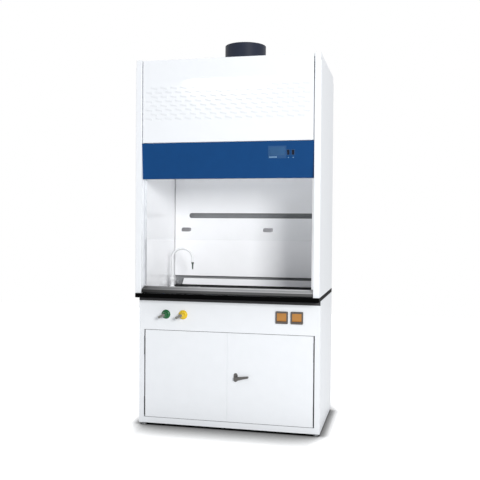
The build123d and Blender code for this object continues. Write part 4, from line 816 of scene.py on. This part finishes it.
# %% Nozzle
low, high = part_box("faucet_nozzle")
nozzle_height = high.z - low.z
barbs = [(0, 0), (0.0088, 0), (0.009, -0.0006), (0.009, -0.0114), (0.0086, -0.012)]
barb_pitch = (nozzle_height - 0.012) / 4
for barb in range(4):
    level = -0.012 - barb * barb_pitch
    crest = 0.007 - 0.0005 * barb
    barbs += [(crest - 0.002, level - 0.0004), (crest - 0.0004, level - barb_pitch + 0.003)]
    barbs += [(crest, level - barb_pitch + 0.0024), (crest - 0.0002, level - barb_pitch + 0.002)]
barbs += [(0.0040, 0.0005 - nozzle_height), (0.0036, -nozzle_height), (0, -nozzle_height)]
make_piece("hose_nozzle", *turned(barbs, ((low.x + high.x) / 2, (low.y + high.y) / 2, high.z), (0, 0, 1), 48),
           "spout", "nozzle_plastic", ["faucet_nozzle"], smooth_angle=50)

# %% [markdown]
# ## Controls
# The band leans, so its fittings are drawn upright and then placed on the leaning plane. The display has a
# dark pane and a pale strip of keys under it, and each rocker switch has a small pale mark below.

# %% The band's plane
band_low, band_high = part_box("control_fascia")
top_recess, bottom_recess = 0.007, 0.026
band_rise, band_lean = band_high.z - band_low.z, bottom_recess - top_recess
slope = float(np.hypot(band_rise, band_lean))
band_out = np.array([0, -band_rise, -band_lean]) / slope
front_y = band_low.y - top_recess
band_middle = np.array([0, front_y + (top_recess + bottom_recess) / 2, (band_high.z + band_low.z) / 2])
band_up = np.cross((1, 0, 0), band_out) * -1


def on_band(low, high, radius, steps=2):
    """A rounded box given by its corners on the band: across, outward and along the slope."""
    points, faces = rounded_box(low, high, radius, steps)
    flat = points.reshape(-1, 3)
    world_points = band_middle + flat[:, :1] * (1, 0, 0) + flat[:, 1:2] * band_out + flat[:, 2:] * band_up
    return world_points, faces


print("band", round(slope, 4), "m along its slope")

# %% Screen and keys
display_x, display_rise = 0.328, 0.046
pane_half, pane_fall, pane_climb = 0.0475, 0.0205, 0.0305
pane_box = on_band((display_x - pane_half, 0.0008, display_rise - pane_fall),
                   (display_x + pane_half, 0.0016, display_rise + pane_climb), 0.0003)
make_piece("display_pane", *pane_box, "cabinet", "screen_glass")

first_key, key_width, key_pitch = display_x - 0.050, 0.0095, 0.0125
key_low, key_high = display_rise - 0.034, display_rise - 0.0265
keys = [on_band((left, 0.0015, key_low), (left + key_width, 0.0026, key_high), 0.0008)
        for left in first_key + key_pitch * np.arange(4)]
make_piece("display_keys", *joined(keys), "cabinet", "key_plastic")

# %% Marks under the switches
switch_places, mark_half = (0.398, 0.428), 0.003
mark_low, mark_high = display_rise - 0.036, display_rise - 0.031
marks = [on_band((x - mark_half, 0.0, mark_low), (x + mark_half, 0.0012, mark_high), 0.0005)
         for x in switch_places]
make_piece("switch_marks", *joined(marks), "cabinet", "key_plastic")
